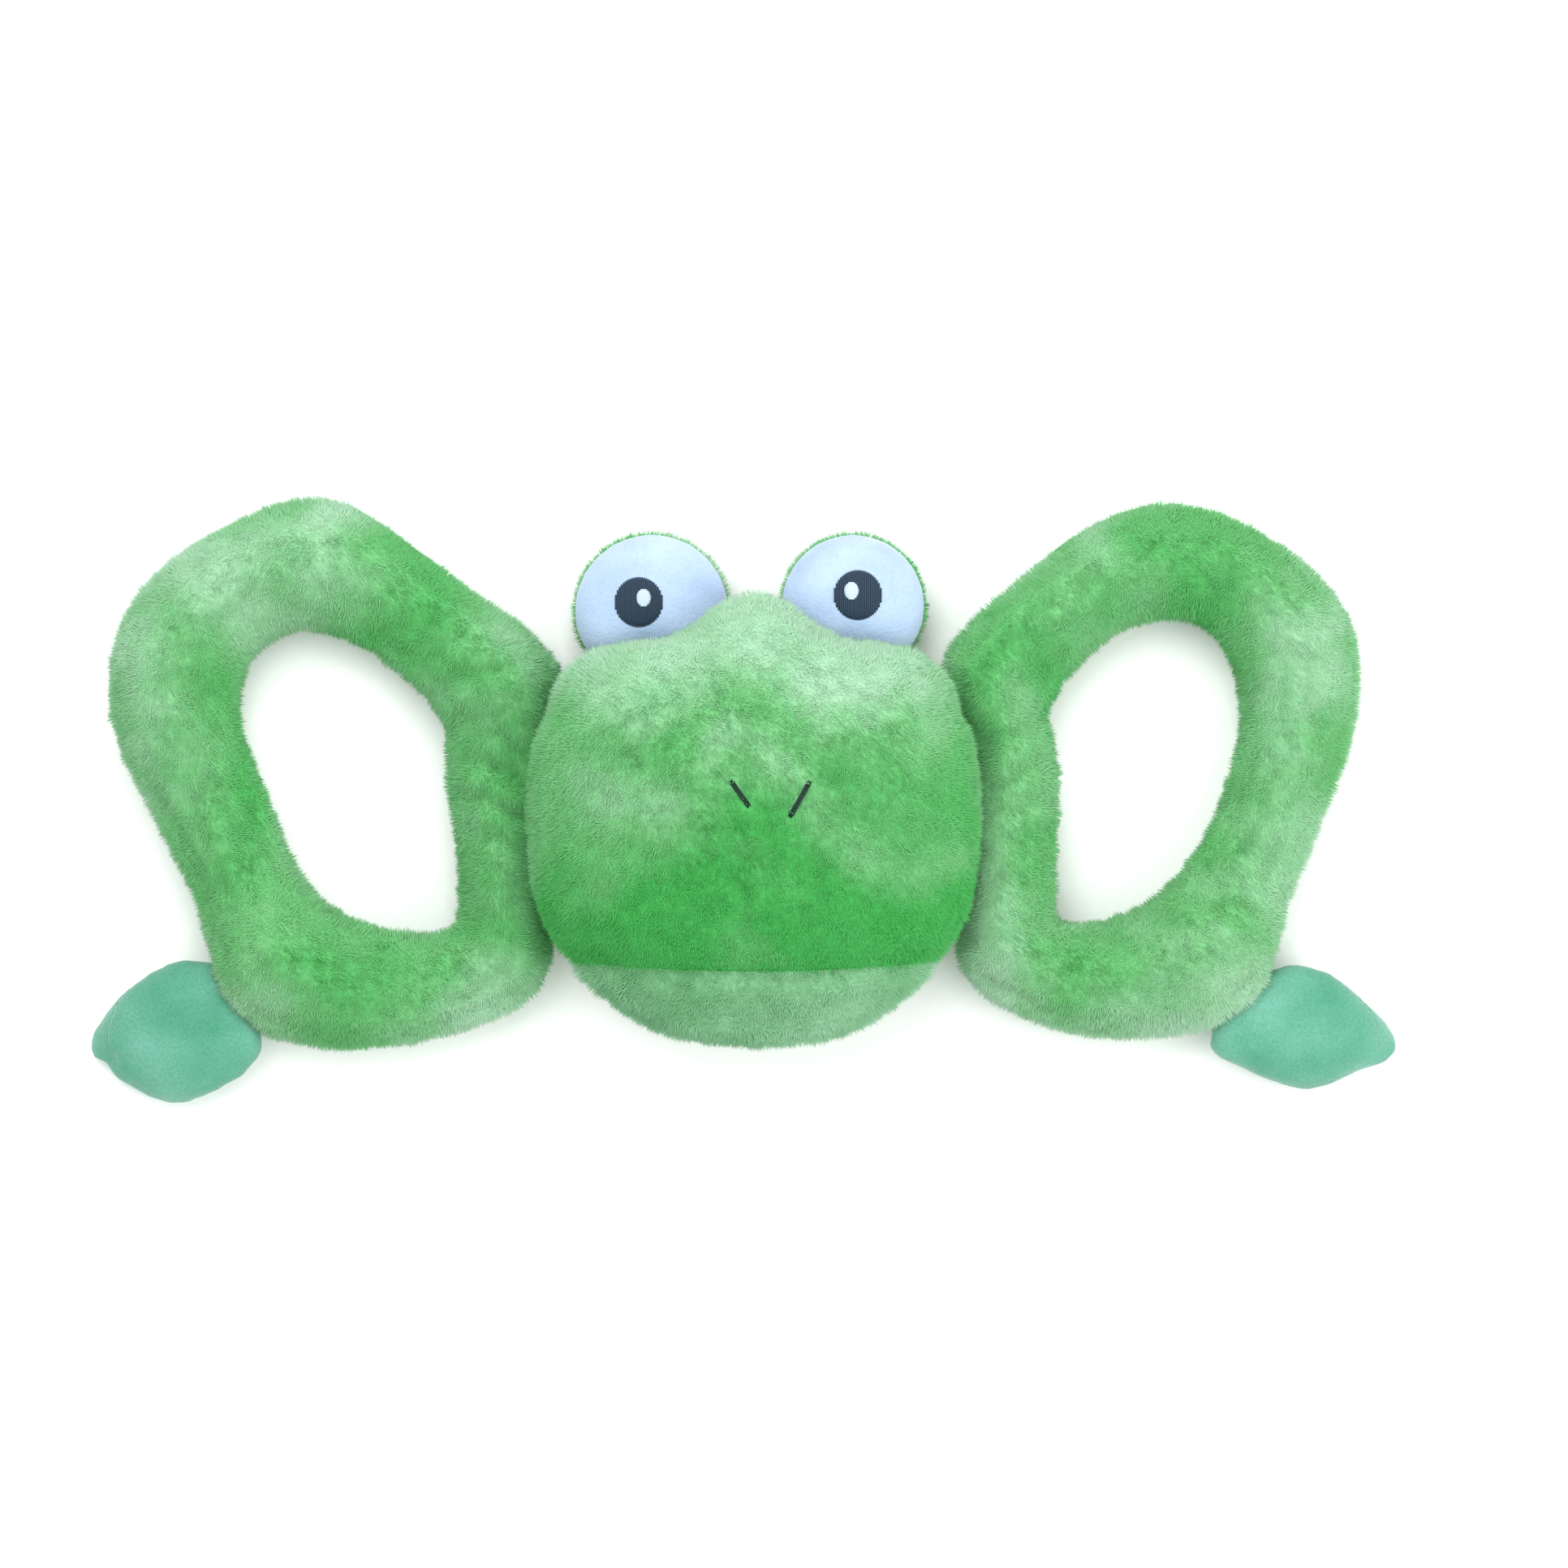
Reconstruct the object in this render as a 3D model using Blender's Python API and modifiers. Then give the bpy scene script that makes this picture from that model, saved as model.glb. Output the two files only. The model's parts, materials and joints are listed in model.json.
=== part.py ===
"""Stuffed frog tug toy: a plush head sewn between two hand loops, lying on its back.

X runs across the toy, Y towards its eyes and Z out of its face. The origin is the middle of the
flattened back of the head, which rests on the plane z = 0. Sizes here are in millimetres.
"""
import math

import bmesh
import bpy
import numpy as np
from mathutils import Matrix, Vector

MM = 0.001

# Cloth and the room that sewn pieces keep
PLUSH_WALL = 2.0
EYE_WALL = 1.2
VELOUR_WALL = 1.4
SEAM_GAP = 0.3
STUFFING_GAP = 1.0
THREAD_RADIUS = 0.6
THREAD_LIFT = 0.8

# Head
HEAD_WIDTH = 148.0
HEAD_CROWN = 60.0
HEAD_CHIN = 75.5
HEAD_DEPTH = 78.0
FACE_OVERHANG_SIDE = 11.5
FACE_OVERHANG_END = 9.5
SEAM_HEIGHT = 19.0
WIDEST_HEIGHT = 48.0
WIDEST_SHARE = 0.375
BACK_BULGE = 25.0
BROW_PEAK = 15.0
BROW_PEAK_SPREAD = math.radians(17.5)
BROW_ROOT_SPREAD = math.radians(7.0)
MOUTH_DROP = 50.0
MOUTH_RISE = 5.0
HEAD_OUTLINE = [
    (0, 1), (0.45, 0.97), (0.79, 0.87), (0.97, 0.47), (1, 0),
    (0.97, -0.34), (0.83, -0.63), (0.63, -0.82), (0.34, -0.965), (0, -1),
]

# Squeaker
SQUEAKER_RADIUS = 19.0
SQUEAKER_HALF_HEIGHT = 9.0
SQUEAKER_WALL = 0.8
SQUEAKER_NECK_RADIUS = 4.5
SQUEAKER_NECK_LENGTH = 2.5
SQUEAKER_ROOM = 1.5
SQUEAKER_HEIGHT = 40.0
REED_BORE = 1.5
REED_FLANGE = 1.2
POCKET_EASE_ACROSS, POCKET_EASE_UP = 1.1, 1.2

# Nostrils: start and end of each stitch on the face
NOSTRIL_STITCHES = {
    "left": ((-7.0, 11.5), (-1.5, 3.0)),
    "right": ((18.0, 11.5), (12.0, -0.5)),
}

# Eyes
EYE_GAP = 1.6
EYE_FRONT = 17.5
EYE_BACK = 13.0
EYE_CORNER = 8
PUPIL_THICKNESS = 1.0
GLINT_THICKNESS = 0.8
PATCH_LIFT = 0.5
EYES = {
    "left": {"x": -33.5, "rise": 17.0, "radius": 26.0, "pupil": (-4.0, 2.7), "pupil_radius": 8.0,
             "glint": (1.6, 1.4)},
    "right": {"x": 32.5, "rise": 18.7, "radius": 24.2, "pupil": (1.5, 3.3), "pupil_radius": 8.0,
              "glint": (-2.1, 1.4)},
}
GLINT_RADII = (2.4, 2.8)

# Hand loops. Each station pairs a point of the outer seam with one of the hole's edge, as
# shares of the loop's reach (outwards from the fold axis) and of its height.
LOOP_GAP = 1.6
LOOP_REACH = {"left": 130.0, "right": 118.0}
LOOP_HEIGHT = 106.0
LOOP_FULLNESS = 0.92
LIMB_STATION, CORNER_STATION = 3, 8
LOOP_STATIONS = {
    "left": [
        (0.46, 1.00, 0.475, 0.555), (0.20, 0.83, 0.325, 0.485), (-0.135, 0.45, 0.155, 0.265),
        (-0.145, 0.20, 0.155, 0.12), (-0.145, -0.36, 0.12, -0.21), (-0.10, -0.56, 0.125, -0.32),
        (0.12, -0.69, 0.19, -0.345), (0.45, -0.735, 0.365, -0.305), (0.68, -0.635, 0.465, -0.21),
        (0.775, -0.29, 0.52, -0.10), (0.89, 0.00, 0.585, 0.10), (0.995, 0.31, 0.645, 0.30),
        (0.955, 0.64, 0.62, 0.465), (0.765, 0.865, 0.56, 0.53),
    ],
    "right": [
        (0.49, 0.98, 0.455, 0.59), (0.205, 0.89, 0.315, 0.545), (-0.155, 0.48, 0.135, 0.315),
        (-0.155, 0.20, 0.165, 0.14), (-0.15, -0.36, 0.155, -0.20), (-0.11, -0.53, 0.155, -0.305),
        (0.11, -0.665, 0.24, -0.315), (0.365, -0.705, 0.35, -0.275), (0.69, -0.615, 0.445, -0.195),
        (0.795, -0.29, 0.52, -0.093), (0.905, 0.01, 0.59, 0.075), (0.99, 0.315, 0.635, 0.30),
        (0.97, 0.615, 0.605, 0.485), (0.795, 0.835, 0.545, 0.565),
    ],
}

# Feet: outlines as (distance from the flap axis, distance along it) from the loop's corner
FOOT_GAP = 1.2
FOOT_HALF_THICKNESS = 10.0
FOOT_DROOP = 15.0
FOOT_LENGTH = {"left": 45.0, "right": 42.0}
FOOT_WIDTH = {"left": 43.0, "right": 46.0}
FOOT_TURN = {"left": math.radians(208.0), "right": math.radians(-43.0)}
FOOT_OUTLINE = {
    "left": [
        (0.06, -0.44), (0.18, -0.58), (0.45, -0.585), (0.70, -0.545), (0.90, -0.46), (1.0, -0.28),
        (0.96, -0.09), (0.84, 0.10), (0.68, 0.30), (0.48, 0.41), (0.22, 0.415), (0.06, 0.29),
    ],
    "right": [
        (0.07, -0.48), (0.28, -0.585), (0.58, -0.61), (0.84, -0.63), (0.98, -0.55), (1.0, -0.42),
        (0.92, -0.30), (0.78, 0.0), (0.63, 0.165), (0.41, 0.285), (0.16, 0.37), (0.07, 0.31),
    ],
}

# Closing stitches
STITCH_COUNT = 8
STITCH_REACH = 2.0
HEAD_STITCH_HALF_LENGTH = 22.0
LOOP_STITCH_SPAN = (0.3, 1.2)

SIDE_SIGN = {"left": -1, "right": 1}

# Faces round each form and from front to back of it, and steps along curves
HEAD_GRID = (40, 16)
LOOP_GRID = (42, 12)
CUSHION_GRID = (24, 10)
PATCH_GRID = (14, 4)
POCKET_SIDES = 20
TURNED_SIDES = 16
BLADDER_STEPS = 7
NOSTRIL_STEPS = 3
OUTLINE_STEPS = 12
LOOP_EDGE_STEPS = 40
CORNER_STEPS = 30
STITCH_EDGE_SAMPLES = 400
FACE_HALVINGS = 30

MERGE_DISTANCE = 0.05
SHARP_ANGLE = math.radians(50)
WHOLE, FRONT, BACK = 0, 1, -1


def clear_scene():
    for found in list(bpy.data.objects):
        bpy.data.objects.remove(found, do_unlink=True)


def new_collection(name):
    made = bpy.data.collections.new(name)
    bpy.context.scene.collection.children.link(made)
    return made


def cloth(name, colour, roughness=0.95, metallic=0.0):
    material = bpy.data.materials.new(name)
    material.use_nodes = True
    shader = material.node_tree.nodes["Principled BSDF"]
    shader.inputs["Base Color"].default_value = (*colour, 1.0)
    shader.inputs["Roughness"].default_value = roughness
    shader.inputs["Metallic"].default_value = metallic
    return material


clear_scene()
TOY = new_collection("frog_tug_toy")
CUTTERS = new_collection("cutters")
GREEN_PLUSH = cloth("green_plush", (0.12, 0.52, 0.13))
CHIN_PLUSH = cloth("chin_plush", (0.24, 0.66, 0.22))
EYE_CLOTH = cloth("eye_cloth", (0.66, 0.77, 0.92), 0.9)
AQUA_VELOUR = cloth("aqua_velour", (0.16, 0.62, 0.54), 0.85)
DARK_THREAD = cloth("dark_thread", (0.02, 0.035, 0.07), 0.6)
WHITE_THREAD = cloth("white_thread", (0.85, 0.88, 0.92), 0.6)
GREEN_THREAD = cloth("green_thread", (0.05, 0.30, 0.06), 0.6)
FIBREFILL = cloth("fibrefill", (0.9, 0.9, 0.88))
SQUEAKER_PLASTIC = cloth("squeaker_plastic", (0.85, 0.86, 0.84), 0.4)


# --- Outlines ---------------------------------------------------------------------------------

def closed_curve(points, steps):
    """Smooth curve through a closed list of points, with steps samples for each span.

    It is a centripetal Catmull-Rom spline, which keeps close to unevenly spaced points.
    """
    knots = np.array(points, float)
    count = len(knots)
    samples = []
    for i in range(count):
        before, here, ahead, beyond = (knots[(i + k) % count] for k in (-1, 0, 1, 2))
        first, span, last = (math.sqrt(np.linalg.norm(end - start))
                             for start, end in ((before, here), (here, ahead), (ahead, beyond)))
        leave = ((here - before) / first - (ahead - before) / (first + span)
                 + (ahead - here) / span) * span
        arrive = ((ahead - here) / span - (beyond - here) / (span + last)
                  + (beyond - ahead) / last) * span
        for step in range(steps):
            t = step / steps
            samples.append((2 * t ** 3 - 3 * t ** 2 + 1) * here + (t ** 3 - 2 * t ** 2 + t) * leave
                           + (3 * t ** 2 - 2 * t ** 3) * ahead + (t ** 3 - t ** 2) * arrive)
    return np.array(samples)


def radius_by_turn(points):
    """A closed outline round the origin as a function: its radius in any direction."""
    samples = closed_curve(points, OUTLINE_STEPS)
    turns = np.arctan2(samples[:, 1], samples[:, 0])
    order = np.argsort(turns)
    turns = turns[order]
    radii = np.hypot(samples[:, 0], samples[:, 1])[order]
    return lambda turn: float(np.interp(turn, turns, radii, period=2 * math.pi))


def head_edge(half_width, crown, chin):
    """The head's outline at one height, without the peak between the eyes."""
    half = [(x * half_width, y * (crown if y > 0 else chin)) for x, y in HEAD_OUTLINE]
    mirrored = [(-x, y) for x, y in half[-2:0:-1]]
    return radius_by_turn(half + mirrored)


SEAM_HALF_WIDTH = HEAD_WIDTH / 2 - FACE_OVERHANG_SIDE
SEAM_CROWN = HEAD_CROWN - FACE_OVERHANG_END
SEAM_CHIN = HEAD_CHIN - FACE_OVERHANG_END
face_edge = head_edge(HEAD_WIDTH / 2, HEAD_CROWN, HEAD_CHIN)
seam_edge = head_edge(SEAM_HALF_WIDTH, SEAM_CROWN, SEAM_CHIN)


def brow_peak(turn, spread):
    """Extra radius where the head rises between the eyes."""
    off = math.remainder(turn - math.pi / 2, 2 * math.pi)
    return BROW_PEAK * math.exp(-((off / spread) ** 2))


# --- Stuffed forms ----------------------------------------------------------------------------

def head_point(unit, inset):
    """Where a point of the unit sphere lands on the head, inset below its surface."""
    turn = math.atan2(unit.y, unit.x)
    rise = math.asin(max(-1.0, min(1.0, unit.z))) / (math.pi / 2)
    seam = seam_edge(turn) + brow_peak(turn, BROW_ROOT_SPREAD) - inset
    face = face_edge(turn) - inset
    peak = brow_peak(turn, BROW_PEAK_SPREAD)
    if rise <= 0:
        radius = seam * math.cos(rise * math.pi / 2)
        height = SEAM_HEIGHT + (BACK_BULGE - inset) * math.sin(rise * math.pi / 2)
    elif rise < WIDEST_SHARE:
        share = rise / WIDEST_SHARE
        radius = seam + (face + peak - seam) * share * share * (3 - 2 * share)
        height = SEAM_HEIGHT + (WIDEST_HEIGHT - SEAM_HEIGHT) * share
    else:
        share = (rise - WIDEST_SHARE) / (1 - WIDEST_SHARE)
        radius = (face + peak * (1 - share) ** 2) * math.cos(share * math.pi / 2)
        height = WIDEST_HEIGHT + (HEAD_DEPTH - inset - WIDEST_HEIGHT) * math.sin(share * math.pi / 2)
    return Vector((radius * math.cos(turn), radius * math.sin(turn), height))


def face_height(x, y):
    """Height of the face over a point, found along the dome from its edge to its middle."""
    turn = math.atan2(y, x)
    low, high = WIDEST_SHARE, 1.0
    for _ in range(FACE_HALVINGS):
        middle = (low + high) / 2
        slope = middle * math.pi / 2
        unit = Vector((math.cos(turn) * math.cos(slope), math.sin(turn) * math.cos(slope),
                       math.sin(slope)))
        point = head_point(unit, 0.0)
        if math.hypot(point.x, point.y) > math.hypot(x, y):
            low = middle
        else:
            high = middle
    return point.z


def eye_radius(eye, turn):
    """A round eye, cut off straight where it is sewn to the crown, with soft corners."""
    down = max(0.0, -math.sin(turn))
    tight = (1 / eye["radius"]) ** EYE_CORNER + (down / eye["rise"]) ** EYE_CORNER
    return tight ** (-1 / EYE_CORNER)


def eye_centre(eye):
    return Vector((eye["x"], SEAM_CROWN + EYE_GAP + eye["rise"], SEAM_HEIGHT))


def eye_point(eye, unit, inset):
    turn = math.atan2(unit.y, unit.x)
    radius = (eye_radius(eye, turn) - inset) * math.hypot(unit.x, unit.y)
    depth = (EYE_FRONT if unit.z > 0 else EYE_BACK) - inset
    reach = Vector((radius * math.cos(turn), radius * math.sin(turn), depth * unit.z))
    return eye_centre(eye) + reach


def eye_height(eye, x, y):
    """Height of the eye's front over a point given from the eye's middle."""
    share = math.hypot(x, y) / eye_radius(eye, math.atan2(y, x))
    return SEAM_HEIGHT + EYE_FRONT * math.sqrt(1 - share * share)


def loop_axis(side):
    """X of the fold axis: the limb beside the head lies against the head's side seam."""
    limb_half_width = -LOOP_STATIONS[side][LIMB_STATION][0] * LOOP_REACH[side]
    return SIDE_SIGN[side] * (SEAM_HALF_WIDTH + LOOP_GAP + limb_half_width)


def loop_edges(side, samples):
    """Outer edge and hole edge of a loop, point for point, in the toy's own X and Y."""
    sign, reach = SIDE_SIGN[side], LOOP_REACH[side]
    size = np.array([sign * reach, LOOP_HEIGHT])
    start = np.array([loop_axis(side), 0.0])
    stations = np.array(LOOP_STATIONS[side])
    dense = closed_curve(stations, LOOP_EDGE_STEPS)
    along = np.linspace(0, len(dense), samples, endpoint=False).astype(int)
    return start + dense[along, :2] * size, start + dense[along, 2:] * size


def loop_point(edges, ring, across, up, inset):
    """A point on the stuffed tube that is sewn between the two edges of a loop."""
    outer, hole = Vector(edges[0][ring]), Vector(edges[1][ring])
    middle, half = (outer + hole) / 2, (outer - hole) / 2
    spread = (half.length - inset) * across
    height = SEAM_HEIGHT + (half.length * LOOP_FULLNESS - inset) * up
    place = middle + half.normalized() * spread
    return Vector((place.x, place.y, height))


def foot_frame(side):
    """Flap axis of a foot: a point on it, its direction, and the way the foot points."""
    turn = FOOT_TURN[side]
    outward = Vector((math.cos(turn), math.sin(turn)))
    along = Vector((outward.y, -outward.x)) * SIDE_SIGN[side]
    stations = LOOP_STATIONS[side]
    outer = loop_edges(side, len(stations) * CORNER_STEPS)[0]
    corner = Vector(outer[CORNER_STATION * CORNER_STEPS])
    edge = max(Vector(point).dot(outward) for point in outer)
    return corner + outward * (edge - corner.dot(outward) + FOOT_GAP / 2), along, outward


def foot_points(side):
    root, along, outward = foot_frame(side)
    length, width = FOOT_LENGTH[side], FOOT_WIDTH[side]
    return [root + outward * (FOOT_GAP / 2 + out * length) + along * across * width
            for out, across in FOOT_OUTLINE[side]]


def foot_shape(side):
    """A function that lays the unit sphere out as the foot's leaf-shaped cushion."""
    points = foot_points(side)
    root, _, outward = foot_frame(side)
    middle = sum(points, Vector((0, 0))) / len(points)
    radius_at = radius_by_turn([tuple(point - middle) for point in points])

    def point(unit, inset):
        turn = math.atan2(unit.y, unit.x)
        radius = (radius_at(turn) - inset) * math.hypot(unit.x, unit.y)
        place = middle + Vector((math.cos(turn), math.sin(turn))) * radius
        droop = FOOT_DROOP * (place - root).dot(outward) / FOOT_LENGTH[side]
        height = SEAM_HEIGHT - droop + (FOOT_HALF_THICKNESS - inset) * unit.z
        return Vector((place.x, place.y, height))

    return point


# --- Skins, shells and threads ----------------------------------------------------------------

def laid_on(skin, shape, inset, half):
    """Move a closed primitive's points onto a shape, and keep the half on one side of its seam.

    The shape lies on the ground, so nothing of it is lower than its own wall.
    """
    other = [face for face in skin.faces if face.calc_center_median().z * half < 0]
    for vert in skin.verts:
        place = shape(vert.co.copy(), inset)
        place.z = max(place.z + half * SEAM_GAP / 2, inset)
        vert.co = place * MM
    bmesh.ops.recalc_face_normals(skin, faces=skin.faces)
    bmesh.ops.delete(skin, geom=other, context="FACES")
    return skin


def ball_skin(shape, inset, grid, half=WHOLE):
    """Skin of a stuffed ball: a UV sphere laid on the shape."""
    skin = bmesh.new()
    bmesh.ops.create_uvsphere(skin, u_segments=grid[0], v_segments=grid[1], radius=1.0)
    return laid_on(skin, shape, inset, half)


def tube_skin(side, inset, grid, half=WHOLE):
    """Skin of a hand loop: a torus laid on the tube between its outer seam and its hole."""
    ring_radius = 2.0
    bpy.ops.mesh.primitive_torus_add(
        major_segments=grid[0], minor_segments=grid[1], major_radius=ring_radius, minor_radius=1.0)
    torus = bpy.context.object
    skin = bmesh.new()
    skin.from_mesh(torus.data)
    torus_mesh = torus.data
    bpy.data.objects.remove(torus, do_unlink=True)
    bpy.data.meshes.remove(torus_mesh)
    edges = loop_edges(side, grid[0])

    def on_tube(place, depth):
        turn = math.atan2(place.y, place.x) % (2 * math.pi)
        ring = round(turn / (2 * math.pi) * grid[0]) % grid[0]
        across = math.hypot(place.x, place.y) - ring_radius
        return loop_point(edges, ring, across, place.z, depth)

    return laid_on(skin, on_tube, inset, half)


def rim_loops(skin):
    """The open rims of a mesh, each a list of edges, longest first."""
    left = {edge for edge in skin.edges if edge.is_boundary}
    loops = []
    while left:
        loop, reach = [], [left.pop()]
        while reach:
            edge = reach.pop()
            loop.append(edge)
            near = {other for vert in edge.verts for other in vert.link_edges if other in left}
            left -= near
            reach.extend(near)
        loops.append(loop)
    return sorted(loops, key=lambda loop: -sum(edge.calc_length() for edge in loop))


def half_shell(skin_at, wall, half):
    """One panel with its thickness: the half skins at 0 and at the wall, joined round their rims.

    The rims then lie in the seam's plane, where the other panel's rims meet them.
    """
    shell, inside = skin_at(0.0, half), skin_at(wall, half)
    lining = bpy.data.meshes.new("lining")
    bmesh.ops.reverse_faces(inside, faces=inside.faces)
    inside.to_mesh(lining)
    inside.free()
    shell.from_mesh(lining)
    bpy.data.meshes.remove(lining)
    loops = rim_loops(shell)
    for first, second in zip(loops[0::2], loops[1::2]):
        bmesh.ops.bridge_loops(shell, edges=first + second)
    bmesh.ops.recalc_face_normals(shell, faces=shell.faces)
    return shell


def add_mesh(name, shape, material, collection=None):
    mesh = bpy.data.meshes.new(name)
    shape.to_mesh(mesh)
    shape.free()
    made = bpy.data.objects.new(name, mesh)
    made.data.materials.append(material)
    (collection or TOY).objects.link(made)
    mesh.shade_smooth()
    mesh.set_sharp_from_angle(angle=SHARP_ANGLE)
    return made


def add_thread(name, points, radius, material):
    """A sewn thread: a poly curve with round section and filled ends."""
    curve = bpy.data.curves.new(name, "CURVE")
    curve.dimensions = "3D"
    curve.bevel_depth = radius * MM
    curve.bevel_resolution = 1
    curve.use_fill_caps = True
    curve.materials.append(material)
    spline = curve.splines.new("POLY")
    spline.points.add(len(points) - 1)
    for place, point in zip(spline.points, points):
        place.co = (*(Vector(point) * MM), 1.0)
    made = bpy.data.objects.new(name, curve)
    TOY.objects.link(made)
    return made


def add_stuffed(prefix, panels, skin_at, wall):
    """The front and back panels of a stuffed piece, and the stuffing between them."""
    for half, (name, material) in zip((FRONT, BACK), panels):
        add_mesh(f"{prefix}_{name}", half_shell(skin_at, wall, half), material)
    return add_mesh(f"{prefix}_stuffing", skin_at(wall + STUFFING_GAP, WHOLE), FIBREFILL)


def hang_on_pivot(prefix, place, parent=None):
    """Parent the pieces of a moving group to an empty on its joint's axis."""
    pivot = bpy.data.objects.new(f"{prefix}_pivot", None)
    pivot.location = Vector(place) * MM - (parent.location if parent else Vector())
    pivot.parent = parent
    TOY.objects.link(pivot)
    for piece in TOY.objects:
        if piece.type != "EMPTY" and piece.name.startswith(prefix):
            piece.parent = pivot
            piece.matrix_parent_inverse = Matrix.Translation(Vector(place) * -MM)
    return pivot


# --- Head -------------------------------------------------------------------------------------

def mouth_height(x):
    """Y of the mouth seam: lowest in the middle, rising to the cheeks."""
    return -MOUTH_DROP + MOUTH_RISE * (2 * x / HEAD_WIDTH) ** 2


def split_at_mouth(shell, upper):
    """Keep the part of the front shell above or below the curved mouth seam."""
    for vert in shell.verts:
        vert.co.y -= mouth_height(vert.co.x / MM) * MM
    side = 1 if upper else -1
    found = bmesh.ops.bisect_plane(
        shell, geom=shell.verts[:] + shell.edges[:] + shell.faces[:],
        plane_co=(0, side * SEAM_GAP / 2 * MM, 0), plane_no=(0, side, 0), clear_inner=True)
    rim = [item for item in found["geom_cut"] if isinstance(item, bmesh.types.BMEdge)]
    made = bmesh.ops.edgenet_fill(shell, edges=rim)
    bmesh.ops.triangulate(shell, faces=made["faces"])
    for vert in shell.verts:
        vert.co.y += mouth_height(vert.co.x / MM) * MM
    bmesh.ops.recalc_face_normals(shell, faces=shell.faces)
    return shell


def build_head():
    def skin_at(inset, half):
        return ball_skin(head_point, inset, HEAD_GRID, half)

    face = split_at_mouth(half_shell(skin_at, PLUSH_WALL, FRONT), True)
    chin = split_at_mouth(half_shell(skin_at, PLUSH_WALL, FRONT), False)
    add_mesh("head_face_panel", face, GREEN_PLUSH)
    add_mesh("head_chin_panel", chin, CHIN_PLUSH)
    add_mesh("head_back_panel", half_shell(skin_at, PLUSH_WALL, BACK), GREEN_PLUSH)
    stuffing = add_mesh("head_stuffing", skin_at(PLUSH_WALL + STUFFING_GAP, WHOLE), FIBREFILL)
    cut = stuffing.modifiers.new("squeaker_pocket", "BOOLEAN")
    cut.object = add_squeaker_pocket()
    cut.operation = "DIFFERENCE"


def add_squeaker_pocket():
    """The tunnel through which the squeaker is pushed in from the closing seam at the chin."""
    pocket = bmesh.new()
    length = HEAD_CHIN + SQUEAKER_RADIUS + SQUEAKER_ROOM
    height = SQUEAKER_HALF_HEIGHT + SQUEAKER_NECK_LENGTH + SQUEAKER_ROOM
    bmesh.ops.create_cone(
        pocket, cap_ends=True, segments=POCKET_SIDES, radius1=1.0, radius2=1.0, depth=1.0)
    for vert in pocket.verts:
        x, z, y = vert.co
        vert.co = Vector((
            x * (SQUEAKER_RADIUS + SQUEAKER_ROOM) * POCKET_EASE_ACROSS,
            SQUEAKER_RADIUS + SQUEAKER_ROOM - (y + 0.5) * length,
            SQUEAKER_HEIGHT + SQUEAKER_NECK_LENGTH / 2 + z * height * POCKET_EASE_UP,
        )) * MM
    bmesh.ops.recalc_face_normals(pocket, faces=pocket.faces)
    cutter = add_mesh("squeaker_pocket_cutter", pocket, FIBREFILL, CUTTERS)
    cutter.hide_render = True
    cutter.display_type = "WIRE"
    return cutter


def add_turned(name, profile, material, wall=None):
    """Turn a profile of (radius, height) points round Z at the squeaker's place."""
    mesh = bpy.data.meshes.new(name)
    points = [(radius * MM, 0.0, height * MM) for radius, height in profile]
    closed = wall is None
    edges = [(i, i + 1) for i in range(len(points) - 1)] + ([(len(points) - 1, 0)] if closed else [])
    mesh.from_pydata(points, edges, [])
    mesh.materials.append(material)
    made = bpy.data.objects.new(name, mesh)
    made.location = (0.0, 0.0, SQUEAKER_HEIGHT * MM)
    TOY.objects.link(made)
    turn = made.modifiers.new("turn", "SCREW")
    turn.steps = turn.render_steps = TURNED_SIDES
    turn.use_merge_vertices = True
    turn.merge_threshold = MERGE_DISTANCE * MM
    turn.use_smooth_shade = True
    if wall is not None:
        shell = made.modifiers.new("wall", "SOLIDIFY")
        shell.thickness = wall * MM
        shell.offset = -1.0
    return made


def build_squeaker():
    neck_top = SQUEAKER_HALF_HEIGHT + SQUEAKER_NECK_LENGTH
    slope_start = math.acos(SQUEAKER_NECK_RADIUS / SQUEAKER_RADIUS)
    bladder = [(SQUEAKER_NECK_RADIUS, neck_top)]
    for step in range(BLADDER_STEPS + 1):
        slope = slope_start - (slope_start + math.pi / 2) * step / BLADDER_STEPS
        bladder.append((SQUEAKER_RADIUS * math.cos(slope), SQUEAKER_HALF_HEIGHT * math.sin(slope)))
    bladder[-1] = (0.0, -SQUEAKER_HALF_HEIGHT)
    add_turned("squeaker_bladder", bladder, SQUEAKER_PLASTIC, SQUEAKER_WALL)
    plug = SQUEAKER_NECK_RADIUS - SQUEAKER_WALL - SEAM_GAP
    seat = neck_top + SEAM_GAP
    reed = [
        (REED_BORE, seat + REED_FLANGE), (SQUEAKER_NECK_RADIUS, seat + REED_FLANGE),
        (SQUEAKER_NECK_RADIUS, seat), (plug, seat), (plug, SQUEAKER_HALF_HEIGHT),
        (REED_BORE, SQUEAKER_HALF_HEIGHT),
    ]
    add_turned("squeaker_reed", reed, SQUEAKER_PLASTIC)


def build_nostrils():
    for side, (start, end) in NOSTRIL_STITCHES.items():
        points = []
        for step in range(NOSTRIL_STEPS + 1):
            x, y = np.array(start) + (np.array(end) - np.array(start)) * step / NOSTRIL_STEPS
            points.append((x, y, face_height(x, y) + THREAD_RADIUS + THREAD_LIFT))
        add_thread(f"{side}_nostril_stitch", points, THREAD_RADIUS, DARK_THREAD)


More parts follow.
